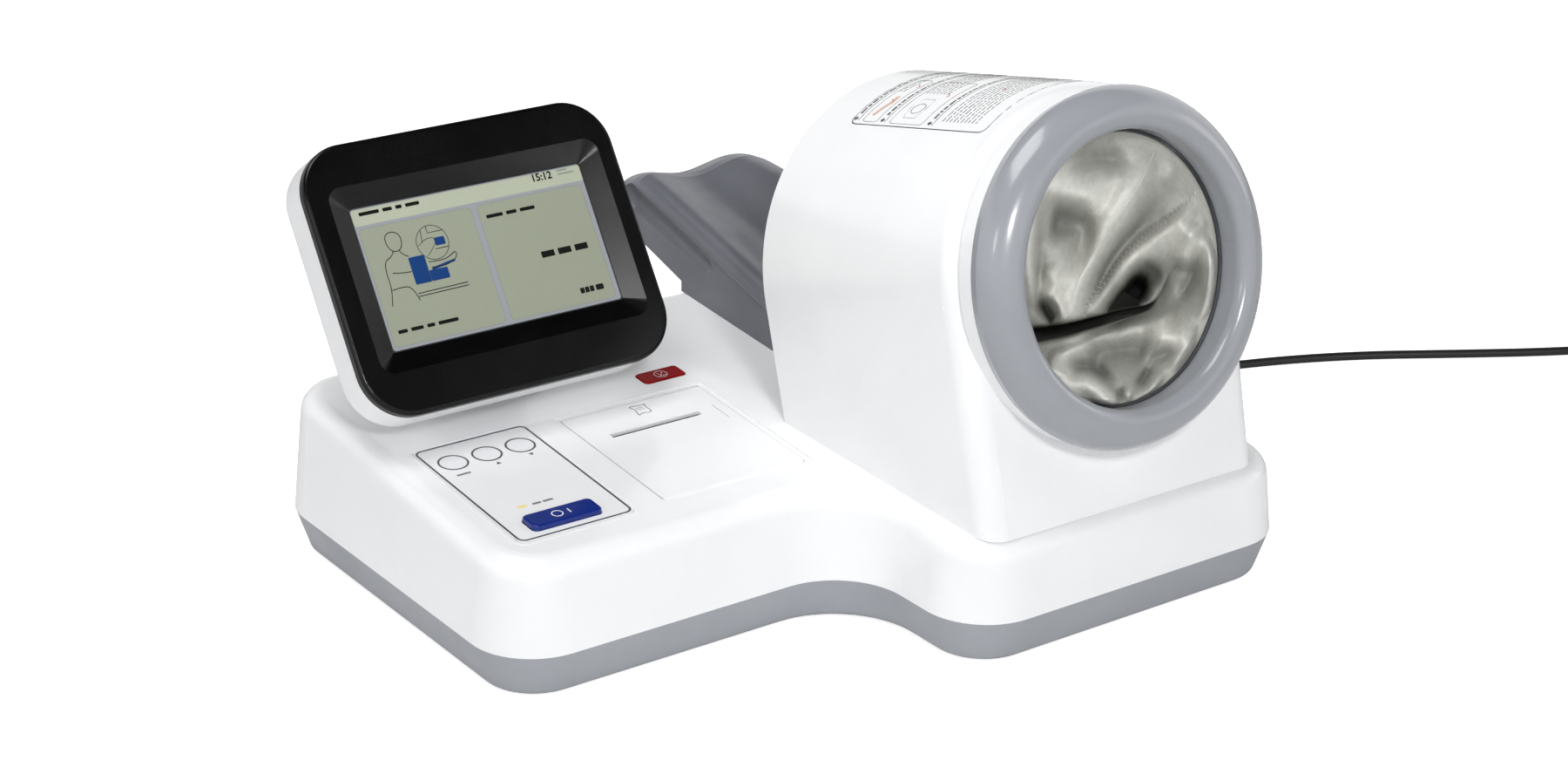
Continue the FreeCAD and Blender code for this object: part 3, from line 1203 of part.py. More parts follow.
def tact_switches():
    """Push switches under the keys and buttons."""
    places = key_places() + [(START_X, START_S0 + START_DEPTH / 2), (STOP_X, STOP_S0 + STOP_DEPTH / 2)]
    half = SWITCH_SIZE / 2
    bodies = []
    for x, s in places:
        body = block(x - half, x + half, s - half, s + half, BOARD_TOP_H, SWITCH_TOP_H - SWITCH_H / 4)
        plunger = rod(STEM_R * 0.8, (x, s, BOARD_TOP_H), (x, s, SWITCH_TOP_H))
        bodies.append(placed(fused([body, plunger]), DECK))
    return group(bodies)


def board_screws():
    """Small screws that hold the two switch boards and the main board to their posts."""
    one = screw(SMALL_SCREW_R, SMALL_SCREW_LENGTH, SMALL_HEAD_R, SMALL_HEAD_H)
    places = button_board_posts() + stop_board_posts()
    under_deck = [placed(one.translated(V(x, s, BOARD_TOP_H - BOARD_T)), DECK) for x, s in places]
    down = one.rotated(V(0, 0, 0), X_AXIS, 180)
    top = TRAY_FLOOR_Z + STANDOFF_H + BOARD_T
    return group(under_deck + [down.translated(V(x, y, top)) for x, y in board_screw_places()])


# ---------------------------------------------------------------- printer

def printer_lid():
    """Printer lid with its paper slot, bevelled edge, hinge barrel and stub pins."""
    low, top = LID_PLACE_H, LID_TOP_H
    plate = prism(lid_corners(0), low, top)
    wedge_points = [V(0, LID_S0 - 1, top - LID_BEVEL), V(0, LID_S0, top - LID_BEVEL),
                    V(0, LID_S0 + LID_BEVEL * 1.6, top), V(0, LID_S0 + LID_BEVEL * 1.6, top + 1),
                    V(0, LID_S0 - 1, top + 1)]
    wedge = Part.Face(Part.makePolygon(wedge_points + wedge_points[:1])).extrude(V(2 * FAR, 0, 0))
    plate = plate.cut(wedge.translated(V(-FAR, 0, 0)))
    half = LID_WIDTH / 2 - BARREL_R / 2
    barrel = rod(BARREL_R, (LID_X - half, hinge_s(), hinge_h()), (LID_X + half, hinge_s(), hinge_h()))
    square = block(LID_X - LID_WIDTH, LID_X + LID_WIDTH, hinge_s(), LID_S1 + 1, low - 1, top + 1)
    pins = rod(LID_PIN_R, *lid_pin_span(0))
    slot = block(SLOT_X - SLOT_LENGTH / 2, SLOT_X + SLOT_LENGTH / 2, SLOT_S - SLOT_WIDTH / 2,
                 SLOT_S + SLOT_WIDTH / 2, low - 1, top + 1)
    near, ramp_foot = SLOT_S - SLOT_WIDTH / 2, top - SLOT_BEVEL * 0.6
    ramp_points = [V(0, SLOT_S, top + 0.01), V(0, near - SLOT_BEVEL, top + 0.01),
                   V(0, near, ramp_foot), V(0, SLOT_S, ramp_foot)]
    ramp = Part.Face(Part.makePolygon(ramp_points + ramp_points[:1])).extrude(V(SLOT_LENGTH, 0, 0))
    ramp = ramp.translated(V(SLOT_X - SLOT_LENGTH / 2, 0, 0))
    whole = fused([plate.cut(square), barrel, pins]).cut([slot, ramp])
    return placed(whole, DECK)


def paper_well():
    """Open box under the lid: a deep end for the roll and a shallow end for the print mechanism."""
    x0, x1 = SLOT_X - WELL_WIDTH / 2, SLOT_X + WELL_WIDTH / 2
    wall = WELL_WALL
    outer = fused([block(x0 - wall, x1 + wall, PAPER_S0 - wall, PAPER_STEP_S + wall,
                         PAPER_FLOOR_H - wall, LID_FRAME_H),
                   block(x0 - wall, x1 + wall, PAPER_S0 - wall, PAPER_S1 + wall,
                         MECHANISM_FLOOR_H - wall, LID_FRAME_H)])
    inner = fused([block(x0, x1, PAPER_S0, PAPER_STEP_S, PAPER_FLOOR_H, 0),
                   block(x0, x1, PAPER_S0, PAPER_S1, MECHANISM_FLOOR_H, 0)])
    well = outer.cut(inner)
    for side in (-1, 1):
        x = SLOT_X + side * WELL_WIDTH / 2
        inside = SLOT_X + side * (ROLL_WIDTH / 2 + 1.5)
        a, b = sorted((x, inside))
        cradle = block(a, b, ROLL_S - SPINDLE_R - 3, ROLL_S + SPINDLE_R + 3, ROLL_H - SPINDLE_R - 3, ROLL_H)
        well = well.fuse(cradle.cut(rod(SPINDLE_R, (a - 1, ROLL_S, ROLL_H), (b + 1, ROLL_S, ROLL_H))))
    return placed(well.removeSplitter(), DECK)


def paper_spindle():
    """Spindle that lies in the well's two cradles and carries the roll."""
    half = WELL_WIDTH / 2 - FIT
    return placed(rod(SPINDLE_R, (SLOT_X - half, ROLL_S, ROLL_H), (SLOT_X + half, ROLL_S, ROLL_H)), DECK)


def paper_roll():
    """Roll of thermal paper."""
    half = ROLL_WIDTH / 2
    return placed(sleeve(ROLL_R, CORE_BORE_R, (SLOT_X - half, ROLL_S, ROLL_H),
                         (SLOT_X + half, ROLL_S, ROLL_H)), DECK)


def motor_place():
    """Axis of the paper motor, up the deck and off it."""
    reach = GEAR_MODULE * (PLATEN_TEETH + PINION_TEETH) / 2
    angle = math.radians(MOTOR_ANGLE)
    return PLATEN_S + reach * math.cos(angle), PLATEN_H + reach * math.sin(angle)


def print_mechanism():
    """Print mechanism's frame: a bar on two side plates, bored for the platen and the motor."""
    out = CHEEK_X + CHEEK_T
    plates = [block(*sorted((SLOT_X + side * CHEEK_X, SLOT_X + side * out)), CHEEK_S0, CHEEK_S1,
                    MECHANISM_FLOOR_H, CHEEK_TOP_H) for side in (-1, 1)]
    bar = block(SLOT_X - out, SLOT_X + out, CHEEK_S0, CHEEK_S1, MECHANISM_FLOOR_H, MECHANISM_FLOOR_H + BAR_T)
    motor_s, motor_h = motor_place()
    bores = [rod(PLATEN_SHAFT_R + RUNNING, (SLOT_X - out - 1, PLATEN_S, PLATEN_H),
                 (SLOT_X + out + 1, PLATEN_S, PLATEN_H)),
             rod(MOTOR_SHAFT_R + RUNNING, (SLOT_X, motor_s, motor_h), (SLOT_X + out + 1, motor_s, motor_h))]
    return placed(fused(plates + [bar]).cut(bores), DECK)


def print_head():
    """Thermal print head behind the platen, between the side plates."""
    s0 = PLATEN_S + PLATEN_R + HEAD_GAP
    head = block(SLOT_X - CHEEK_X, SLOT_X + CHEEK_X, s0, s0 + HEAD_T,
                 MECHANISM_FLOOR_H + BAR_T, CHEEK_TOP_H - 1)
    return placed(head, DECK)


def platen_roller():
    """Rubber platen."""
    return placed(sleeve(PLATEN_R, PLATEN_SHAFT_R, (SLOT_X - PLATEN_HALF, PLATEN_S, PLATEN_H),
                         (SLOT_X + PLATEN_HALF, PLATEN_S, PLATEN_H)), DECK)


def platen_shaft():
    """Steel shaft through the platen and its gear."""
    left = SLOT_X - CHEEK_X - CHEEK_T - 1
    right = SLOT_X + CHEEK_X + CHEEK_T + GEAR_GAP + GEAR_T + SHAFT_END
    return placed(rod(PLATEN_SHAFT_R, (left, PLATEN_S, PLATEN_H), (right, PLATEN_S, PLATEN_H)), DECK)


def gear(teeth, bore, phase, s, h):
    """Spur gear beside the right side plate, its teeth as tapered bars round a root disc."""
    x0 = SLOT_X + CHEEK_X + CHEEK_T + GEAR_GAP
    pitch_r = GEAR_MODULE * teeth / 2
    root_r = pitch_r - 1.1 * GEAR_MODULE
    tip_r = pitch_r + 0.8 * GEAR_MODULE
    half = (math.pi * GEAR_MODULE / 2 - GEAR_BACKLASH) / 2
    solids = [rod(root_r, (0, 0, 0), (0, 0, GEAR_T))]
    profile = [V(root_r - 0.3, -half * 1.5, 0), V(tip_r, -half * 0.7, 0), V(tip_r, half * 0.7, 0),
               V(root_r - 0.3, half * 1.5, 0)]
    tooth = Part.Face(Part.makePolygon(profile + profile[:1])).extrude(V(0, 0, GEAR_T))
    for number in range(teeth):
        solids.append(tooth.rotated(V(0, 0, 0), Z_AXIS, phase + 360.0 * number / teeth))
    wheel = fused(solids).cut(rod(bore, (0, 0, -1), (0, 0, GEAR_T + 1)))
    turn = FreeCAD.Rotation(V(0, 1, 0), V(0, 0, 1), V(1, 0, 0), "ZXY")
    wheel.Placement = FreeCAD.Placement(V(x0, s, h), turn)
    return placed(wheel, DECK)


def platen_gear():
    """Gear on the platen's shaft."""
    return gear(PLATEN_TEETH, PLATEN_SHAFT_R, MOTOR_ANGLE, PLATEN_S, PLATEN_H)


def motor_pinion():
    """Pinion cut on the motor's shaft, a tooth space facing the platen's tooth."""
    s, h = motor_place()
    face = SLOT_X + CHEEK_X
    wheel = gear(PINION_TEETH, MOTOR_SHAFT_R / 2, MOTOR_ANGLE + 180 + 180.0 / PINION_TEETH, s, h)
    shaft = rod(MOTOR_SHAFT_R, (face - MOTOR_LENGTH / 2, s, h),
                (face + CHEEK_T + GEAR_GAP + GEAR_T + SHAFT_END, s, h))
    return fused([wheel, placed(shaft, DECK)])


def paper_motor():
    """Small stepper motor on the inside of the right side plate."""
    s, h = motor_place()
    face = SLOT_X + CHEEK_X
    body = rod(MOTOR_R, (face - MOTOR_LENGTH, s, h), (face, s, h))
    bore = rod(MOTOR_SHAFT_R + RUNNING, (face - MOTOR_LENGTH / 2 - RUNNING, s, h), (face + 1, s, h))
    return placed(body.cut(bore), DECK)


# ---------------------------------------------------------------- electrics and air

def board_screw_places():
    """Corner screws of the main board."""
    x = MAIN_BOARD_WIDTH / 2 - POST_R - 1
    y = MAIN_BOARD_DEPTH / 2 - POST_R - 1
    return [(MAIN_BOARD_X + side * x, MAIN_BOARD_Y + end * y) for side in (-1, 1) for end in (-1, 1)]


def main_board():
    """Main circuit board on its standoffs."""
    z = TRAY_FLOOR_Z + STANDOFF_H
    board = prism(middle_corners(MAIN_BOARD_X, MAIN_BOARD_Y, MAIN_BOARD_WIDTH, MAIN_BOARD_DEPTH, 3),
                  z, z + BOARD_T)
    return board.cut([rod(SMALL_SCREW_R + FIT, (x, y, z - 1), (x, y, z + BOARD_T + 1))
                      for x, y in board_screw_places()])


def board_components():
    """Chips, capacitors and plugs on the main board."""
    z = TRAY_FLOOR_Z + STANDOFF_H + BOARD_T
    x, y = MAIN_BOARD_X, MAIN_BOARD_Y
    edge = MAIN_BOARD_DEPTH / 2 - PLUG_HOUSING_MARGIN
    parts = [block(x + a, x + a + w, y + b, y + b + d, z, z + CHIP_H) for a, b, w, d in CHIPS]
    for a, end, width in PLUG_HOUSINGS:
        y0 = y + end * edge - PLUG_HOUSING_T / 2
        parts.append(block(x + a, x + a + width, y0, y0 + PLUG_HOUSING_T, z, z + PLUG_HOUSING_H))
    parts += [rod(CAPACITOR_R, (x + CAPACITOR_X, y + b, z), (x + CAPACITOR_X, y + b, z + CAPACITOR_H))
              for b in CAPACITOR_YS]
    return group(parts)


def power_supply():
    """Enclosed mains power supply on the tray's floor."""
    case = prism(middle_corners(SUPPLY_X, SUPPLY_Y, SUPPLY_WIDTH, SUPPLY_DEPTH, 2), TRAY_FLOOR_Z,
                 TRAY_FLOOR_Z + SUPPLY_H)
    return case.makeFillet(1.0, edges_at(case, TRAY_FLOOR_Z + SUPPLY_H))


def pump_axis_z():
    """Height of the pump's axis above the floor."""
    return TRAY_FLOOR_Z + MOUNT_H + PUMP_HEAD / 2


def air_pump():
    """Air pump: a round motor and a square head with an outlet on top."""
    z = pump_axis_z()
    motor = rod(PUMP_R, (PUMP_X, PUMP_Y, z), (PUMP_X + PUMP_LENGTH, PUMP_Y, z))
    half = PUMP_HEAD / 2
    head = block(PUMP_X - PUMP_HEAD_T, PUMP_X, PUMP_Y - half, PUMP_Y + half, z - half, z + half)
    outlet_x = PUMP_X - PUMP_HEAD_T / 2
    outlet = rod(HOSE_R, (outlet_x, PUMP_Y, z), (outlet_x, PUMP_Y, z + half + SPIGOT_H))
    return fused([motor, head, outlet])


def pump_mounts():
    """Soft rubber mounts under the pump."""
    z = pump_axis_z()
    half = PUMP_HEAD / 2
    head = block(PUMP_X - PUMP_HEAD_T, PUMP_X, PUMP_Y - half, PUMP_Y + half, TRAY_FLOOR_Z, z - half)
    x0 = PUMP_X + PUMP_LENGTH / 2
    saddle = block(x0, x0 + 14, PUMP_Y - PUMP_R, PUMP_Y + PUMP_R, TRAY_FLOOR_Z, z - PUMP_R / 2)
    saddle = saddle.cut(rod(PUMP_R, (x0 - 1, PUMP_Y, z), (x0 + 15, PUMP_Y, z)))
    return group([head, saddle])


def valve_block():
    """Air manifold with its hose spigots."""
    z = TRAY_FLOOR_Z
    body = block(BLOCK_X, BLOCK_X + BLOCK_WIDTH, BLOCK_Y, BLOCK_Y + BLOCK_DEPTH, z, z + BLOCK_H)
    x, y = BLOCK_X + SPIGOT_MARGIN, BLOCK_Y + BLOCK_DEPTH / 2
    inlet = rod(HOSE_R, (x, y, z + BLOCK_H - 1), (x, y, z + BLOCK_H + SPIGOT_H))
    return fused([body, inlet])


def exhaust_valve():
    """Electric exhaust valve on the manifold."""
    x = BLOCK_X + BLOCK_WIDTH - VALVE_R - 3
    y = BLOCK_Y + BLOCK_DEPTH / 2
    z = TRAY_FLOOR_Z + BLOCK_H
    return fused([rod(VALVE_R, (x, y, z), (x, y, z + VALVE_H)),
                  rod(HOSE_R / 2, (x, y, z + VALVE_H - 1), (x, y, z + VALVE_H + 4))])


def routed_tube(points, radius, bends):
    """Round tube along straight runs joined by tangent arcs."""
    path = [V(*point) for point in points]
    edges = []
    start = path[0]
    for number in range(1, len(path) - 1):
        before = (path[number - 1] - path[number]).normalize()
        after = (path[number + 1] - path[number]).normalize()
        half = before.getAngle(after) / 2
        bend = bends[number - 1]
        cut = bend / math.tan(half)
        first, last = path[number] + before * cut, path[number] + after * cut
        toward = (before + after).normalize()
        top = path[number] + toward * (bend / math.sin(half) - bend)
        edges.append(Part.LineSegment(start, first).toShape())
        edges.append(Part.Arc(first, top, last).toShape())
        start = last
    edges.append(Part.LineSegment(start, path[-1]).toShape())
    wire = Part.Wire(edges)
    circle = Part.Wire(Part.makeCircle(radius, path[0], path[1] - path[0]))
    return wire.makePipeShell([circle], True, False)


def pump_hose():
    """Hose from the pump's outlet to the manifold."""
    z = pump_axis_z() + PUMP_HEAD / 2 + SPIGOT_H
    x0 = PUMP_X - PUMP_HEAD_T / 2
    x1 = BLOCK_X + SPIGOT_MARGIN
    y1 = BLOCK_Y + BLOCK_DEPTH / 2
    z1 = TRAY_FLOOR_Z + BLOCK_H + SPIGOT_H
    high = z + HOSE_BEND_R * 0.6
    points = [(x0, PUMP_Y, z), (x0, PUMP_Y, high), (x1, y1, high), (x1, y1, z1)]
    return routed_tube(points, HOSE_R, [HOSE_BEND_R * 0.45] * 2)


def cuff_hose():
    """Hose from the cuff's nipple down to the side of the manifold."""
    top = TUNNEL.multVec(V(0, -NIPPLE_END_R, NIPPLE_N))
    above = TUNNEL.multVec(V(0, -NIPPLE_END_R - HOSE_BEND_R, NIPPLE_N))
    y1 = BLOCK_Y + BLOCK_DEPTH / 2
    z1 = TRAY_FLOOR_Z + BLOCK_H / 2
    points = [tuple(top), tuple(above), (above.x, y1, z1), (BLOCK_X, y1, z1)]
    return routed_tube(points, HOSE_R, [HOSE_BEND_R * 0.5, HOSE_BEND_R * 0.5])


# ---------------------------------------------------------------- power inlet and lead

def tray_back_y(z):
    """Outside of the tray's back wall at a height."""
    return BASE_BACK_Y - tray_inset(z)


def cord_gland():
    """Strain relief: a flange outside the tray's back wall, a groove through it and a tapered tail."""
    outer_y = tray_back_y(INLET_Z + GLAND_R)
    inner_y = tray_back_y(INLET_Z) - TRAY_WALL - 3
    flange = rod(GLAND_R, (INLET_X, inner_y, INLET_Z), (INLET_X, outer_y + GLAND_FLANGE_T, INLET_Z))
    flange = flange.cut(base_block(FOOT_HEIGHT, TRAY_TAPER, SEAM_Z, 0))
    body = rod(GLAND_R - GLAND_FLANGE_T, (INLET_X, inner_y, INLET_Z), (INLET_X, outer_y + 0.5, INLET_Z))
    tail = Part.makeCone(GLAND_R - 1, RELIEF_TIP_R, relief_end() - outer_y - GLAND_FLANGE_T,
                         V(INLET_X, outer_y + GLAND_FLANGE_T, INLET_Z), Y_AXIS)
    return fused([flange, body, tail])


def relief_end():
    """Where the strain relief ends and the lead comes out."""
    return CORD_ROUTE[0][1] - 0.4


def power_switch():
    """Frame of the rear power switch, in the tray's back wall."""
    width, height = ROCKER_WIDTH + ROCKER_FRAME - FIT / 2, ROCKER_HEIGHT + ROCKER_FRAME - FIT / 2
    y = tray_back_y(INLET_Z)
    frame = block(SWITCH_X - width / 2, SWITCH_X + width / 2, y - TRAY_WALL - 12, y + 1.2,
                  INLET_Z - height / 2, INLET_Z + height / 2)
    hole = block(SWITCH_X - ROCKER_WIDTH / 2, SWITCH_X + ROCKER_WIDTH / 2, y - TRAY_WALL - 9, y + 3,
                 INLET_Z - ROCKER_HEIGHT / 2, INLET_Z + ROCKER_HEIGHT / 2)
    point = rocker_axis()
    pins = rod(ROCKER_PIN_R, (point.x, point.y, INLET_Z - height / 2 + FIT / 2),
               (point.x, point.y, INLET_Z + height / 2 - FIT / 2))
    return frame.cut([hole, pins.cut(hole)])


def rocker_axis():
    """A point on the power rocker's axis, which runs up and down."""
    return V(SWITCH_X, tray_back_y(INLET_Z) - 5.0, INLET_Z)


def power_rocker():
    """Rocker of the power switch, pivoted about an upright axis."""
    point = rocker_axis()
    reach = ROCKER_WIDTH / 2 - 1.8
    half = ROCKER_HEIGHT / 2 - 0.4
    rise = math.tan(math.radians(ROCKER_TRAVEL / 2)) * reach
    out = 5.0
    points = [V(-reach, out + rise + 0.6), V(0, out - 1.0), V(reach, out - rise * 0.2),
              V(reach * 0.75, -1.5), V(-reach * 0.75, -1.5)]
    face = Part.Face(Part.makePolygon([V(p.x, p.y, -half) for p in points + points[:1]]))
    cap = face.extrude(V(0, 0, 2 * half)).translated(point)
    height = ROCKER_HEIGHT + ROCKER_FRAME
    pins = rod(ROCKER_PIN_R - RUNNING, (point.x, point.y, INLET_Z - height / 2 + 3 * FIT),
               (point.x, point.y, INLET_Z + height / 2 - 3 * FIT))
    return fused([cap, pins])


def cord_bends():
    """Bend radius at each inner point of the lead's route."""
    path = [V(*point) for point in CORD_ROUTE]
    bends = []
    for before, here, after in zip(path, path[1:], path[2:]):
        shorter = min((here - before).Length, (after - here).Length)
        turn = (here - before).getAngle(after - here)
        bends.append(0.45 * shorter / math.tan(turn / 2))
    return bends


def power_cord():
    """Power lead from its strain relief, along the floor to its coil."""
    return routed_tube(CORD_ROUTE, CORD_R, cord_bends())


def cord_coil():
    """Outer form of the coil that takes up the rest of the lead."""
    return sleeve(COIL_OUTER_R, COIL_INNER_R, (COIL_X, COIL_Y, 0), (COIL_X, COIL_Y, COIL_HEIGHT))


def tail_start_y():
    """Height up the plan of the lead's last stretch, level with the coil's outer turn."""
    return COIL_Y - COIL_OUTER_R + CORD_R


def cord_tail():
    """Last stretch of the lead, from the coil to the plug."""
    y = tail_start_y()
    return rod(CORD_R, (COIL_X - TAIL_LENGTH, y, CORD_R), (COIL_X - TAIL_LENGTH - COIL_OUTER_R, y, CORD_R))


def mains_plug():
    """Moulded plug with two round pins, lying on the floor."""
    y = tail_start_y()
    x = COIL_X - TAIL_LENGTH - COIL_OUTER_R
    tail = Part.makeCone(CORD_R + 0.8, CORD_R + 3, 12, V(x - 1, y, CORD_R + 1), V(-1, 0, 0.25))
    half_z = PLUG_R * 0.4
    body = prism(middle_corners(x - 10 - PLUG_LENGTH / 2, y, PLUG_LENGTH, 2 * PLUG_R, 8), 0, 2 * half_z)
    body = body.makeFillet(2.5, edges_at(body, 2 * half_z) + edges_at(body, 0))
    pins = []
    for side in (-1, 1):
        pin_y = y + side * PLUG_PIN_PITCH / 2
        pins.append(rod(PLUG_PIN_R, (x - 9 - PLUG_LENGTH, pin_y, half_z),
                        (x - 10 - PLUG_LENGTH - PLUG_PIN_LENGTH, pin_y, half_z)))
    floor = block(-FAR, 2 * FAR, -FAR, FAR, -FAR, 0)
    return fused([body, tail] + pins).cut(floor)


# ---------------------------------------------------------------- the whole machine

def housing_with_holes():
    """Housing with the screw and cable holes for what stands on its deck."""
    screws = tunnel_screw_places() + rest_screw_places() + neck_screw_places()
    holes = [rod(CASE_SCREW_R + FIT, (x, s, -HOUSING_WALL - 1), (x, s, 1)) for x, s in screws]
    holes.append(neck_duct(-HOUSING_WALL - 1, 1))
    return upper_housing().cut([placed(hole, DECK) for hole in holes])


PIECES = {
    "upper_housing": housing_with_holes, "lower_tray": lower_tray, "rubber_feet": rubber_feet,
    "case_screws": case_screws, "deck_screws": deck_screws, "tunnel_housing": tunnel_housing,
    "rear_panel": rear_panel, "entry_ring": entry_ring, "cuff_drum": cuff_drum, "cuff_bladder": cuff_bladder,
    "cuff_liner": cuff_liner, "arm_rest": arm_rest, "rest_cover": rest_cover,
    "display_bezel": display_bezel, "display_shell": display_shell, "display_screws": display_screws,
    "lcd_panel": lcd_panel, "display_neck": display_neck, "neck_screws": neck_screws, "hinge_pin": hinge_pin,
    "hinge_washers": hinge_washers, "control_panel": control_panel, "mode_key": lambda: round_key(0),
    "up_key": lambda: round_key(1), "down_key": lambda: round_key(2), "start_button": start_button,
    "stop_button": stop_button, "power_light": power_light, "button_board": button_board,
    "stop_board": stop_board, "tact_switches": tact_switches, "board_screws": board_screws,
    "printer_lid": printer_lid, "paper_well": paper_well, "paper_spindle": paper_spindle,
    "paper_roll": paper_roll, "print_mechanism": print_mechanism, "print_head": print_head,
    "platen_roller": platen_roller, "platen_shaft": platen_shaft, "platen_gear": platen_gear,
    "motor_pinion": motor_pinion, "paper_motor": paper_motor, "main_board": main_board,
    "board_components": board_components, "power_supply": power_supply, "air_pump": air_pump,
    "pump_mounts": pump_mounts, "valve_block": valve_block, "exhaust_valve": exhaust_valve,
    "pump_hose": pump_hose, "cuff_hose": cuff_hose, "cord_gland": cord_gland, "power_switch": power_switch,
    "power_rocker": power_rocker, "power_cord": power_cord, "cord_coil": cord_coil, "cord_tail": cord_tail,
    "mains_plug": mains_plug}


def main():
    """Build every piece and write each to its own file."""
    os.makedirs("parts", exist_ok=True)
    for name, build in PIECES.items():
        shape = build()
        shape.exportStep("parts/" + name + ".step")
        print(name, len(shape.Solids), round(shape.Volume), shape.isValid())
    print("lead's bend radii", [round(bend) for bend in cord_bends()])


main()
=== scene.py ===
"""Looks of an arm-in blood pressure monitor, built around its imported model. Lengths are in metres."""
import logging
import math
from dataclasses import dataclass, replace
from enum import Enum
from typing import Callable, Iterable, Protocol, Sequence

import bpy
import numpy as np
from mathutils import Matrix, Vector, noise


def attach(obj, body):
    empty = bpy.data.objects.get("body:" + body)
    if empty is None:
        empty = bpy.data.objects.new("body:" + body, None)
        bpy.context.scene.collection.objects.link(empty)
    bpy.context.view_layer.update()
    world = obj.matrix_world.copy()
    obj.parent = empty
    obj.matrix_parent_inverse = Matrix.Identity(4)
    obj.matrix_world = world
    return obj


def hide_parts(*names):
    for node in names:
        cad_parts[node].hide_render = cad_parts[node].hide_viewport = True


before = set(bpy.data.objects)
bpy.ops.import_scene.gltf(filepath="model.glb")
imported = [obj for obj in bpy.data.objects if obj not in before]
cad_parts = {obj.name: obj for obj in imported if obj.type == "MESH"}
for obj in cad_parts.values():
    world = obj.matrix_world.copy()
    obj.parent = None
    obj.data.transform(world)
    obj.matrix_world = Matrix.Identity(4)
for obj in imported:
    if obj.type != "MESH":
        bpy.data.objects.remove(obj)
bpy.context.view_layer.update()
LOG = logging.getLogger("monitor")
MM = 0.001

Shade = tuple[int, int, int]
Pair = tuple[float, float]
Spot = tuple[float, float]
Point = tuple[float, float, float]
Piece = bpy.types.Object


# ------------------------------------------------------------------ places

@dataclass(frozen=True)
class TiltedFrame:
    """A frame that is turned about X: across, up its face and off its face, in millimetres."""

    origin: Point
    lean: float

    def matrix(self) -> Matrix:
        """Matrix from the frame's millimetres to the scene's metres."""
        turn = Matrix.Rotation(math.radians(self.lean), 4, "X")
        return Matrix.Translation(Vector(self.origin) * MM) @ turn @ Matrix.Scale(MM, 4)


DECK = TiltedFrame((0.0, -108.1, 83.7), 4.567)
TUNNEL = TiltedFrame((112.0, -188.9, 213.2), 76.0)
DISPLAY = TiltedFrame((-136.2, 82.9, 190.0), 56.64)


class Body(str, Enum):
    """The bodies of the model that pieces ride on."""

    BASE = "base_unit"
    DISPLAY = "display"
    START = "start_key"
    STOP = "stop_key"
    LID = "printer_cover"


# ------------------------------------------------------------------ colours and node tools

def colour(shade: Shade) -> tuple[float, ...]:
    """Linear red, green and blue of a display colour from 0 to 255, and an alpha of one."""
    def linear(value: int) -> float:
        """Linear share of one display value."""
        share = value / 255
        return share / 12.92 if share <= 0.04045 else ((share + 0.055) / 1.055) ** 2.4
    return (*map(linear, shade), 1.0)


class NodeSheet:
    """A node tree with short ways to add and join nodes."""

    def __init__(self, tree: bpy.types.NodeTree) -> None:
        """Keep the tree that nodes go into."""
        self.tree = tree

    def give(self, socket: bpy.types.NodeSocket, value: object) -> None:
        """Join an output to an input, or set the input's value."""
        if isinstance(value, bpy.types.NodeSocket):
            self.tree.links.new(value, socket)
        else:
            socket.default_value = value

    def feed(self, node: bpy.types.Node, **inputs: object) -> None:
        """Give a node's inputs values or sockets, by their names with underscores for spaces."""
        for name, value in inputs.items():
            self.give(node.inputs[name.replace("_", " ")], value)

    def add(self, kind: str, **settings: object) -> bpy.types.Node:
        """Add a node.

        Args:
            kind: the node's type name.
            settings: properties by name, or what feed() takes.

        Returns:
            The new node.
        """
        node = self.tree.nodes.new(kind)
        for name, value in settings.items():
            if hasattr(node, name):
                setattr(node, name, value)
            else:
                self.feed(node, **{name: value})
        return node

    def math(self, operation: str, first: object, second: object = 0.0) -> bpy.types.NodeSocket:
        """Add a Math node on sockets or numbers and return its output."""
        node = self.add("ShaderNodeMath", operation=operation)
        for socket, value in zip(node.inputs, (first, second)):
            self.give(socket, value)
        return node.outputs[0]

    def ramp(self, value: bpy.types.NodeSocket, low: float, high: float,
             start: float = 0.0, end: float = 1.0) -> bpy.types.NodeSocket:
        """Map a value from one range to another, held at both ends.

        Args:
            value: the value.
            low, high: the range that it comes in.
            start, end: what it becomes at each of them.

        Returns:
            The new value.
        """
        node = self.add("ShaderNodeMapRange", clamp=True, Value=value, From_Min=low, From_Max=high,
                        To_Min=start, To_Max=end)
        return node.outputs["Result"]

    def mix(self, share: object, first: object, second: object) -> bpy.types.NodeSocket:
        """Mix two colours.

        Args:
            share: share of the second, from 0 to 1.
            first, second: the colours, each a socket or a colour.

        Returns:
            The mixed colour.
        """
        node = self.add("ShaderNodeMix", data_type="RGBA")
        places = {"Factor_Float": share, "A_Color": first, "B_Color": second}
        for socket in node.inputs:
            if socket.identifier in places:
                self.give(socket, places[socket.identifier])
        return next(socket for socket in node.outputs if socket.identifier == "Result_Color")

    def coordinates(self, kind: str) -> bpy.types.NodeSocket:
        """Texture coordinates of one kind."""
        return self.add("ShaderNodeTexCoord").outputs[kind]

    def bump(self, height: bpy.types.NodeSocket, depth: float) -> bpy.types.NodeSocket:
        """Turn a height from 0 to 1 into a normal, for a depth in metres."""
        return self.add("ShaderNodeBump", Distance=depth, Height=height).outputs["Normal"]

    def paint(self, **inputs: object) -> None:
        """Feed the tree's shader."""
        self.feed(self.tree.nodes["Principled BSDF"], **inputs)


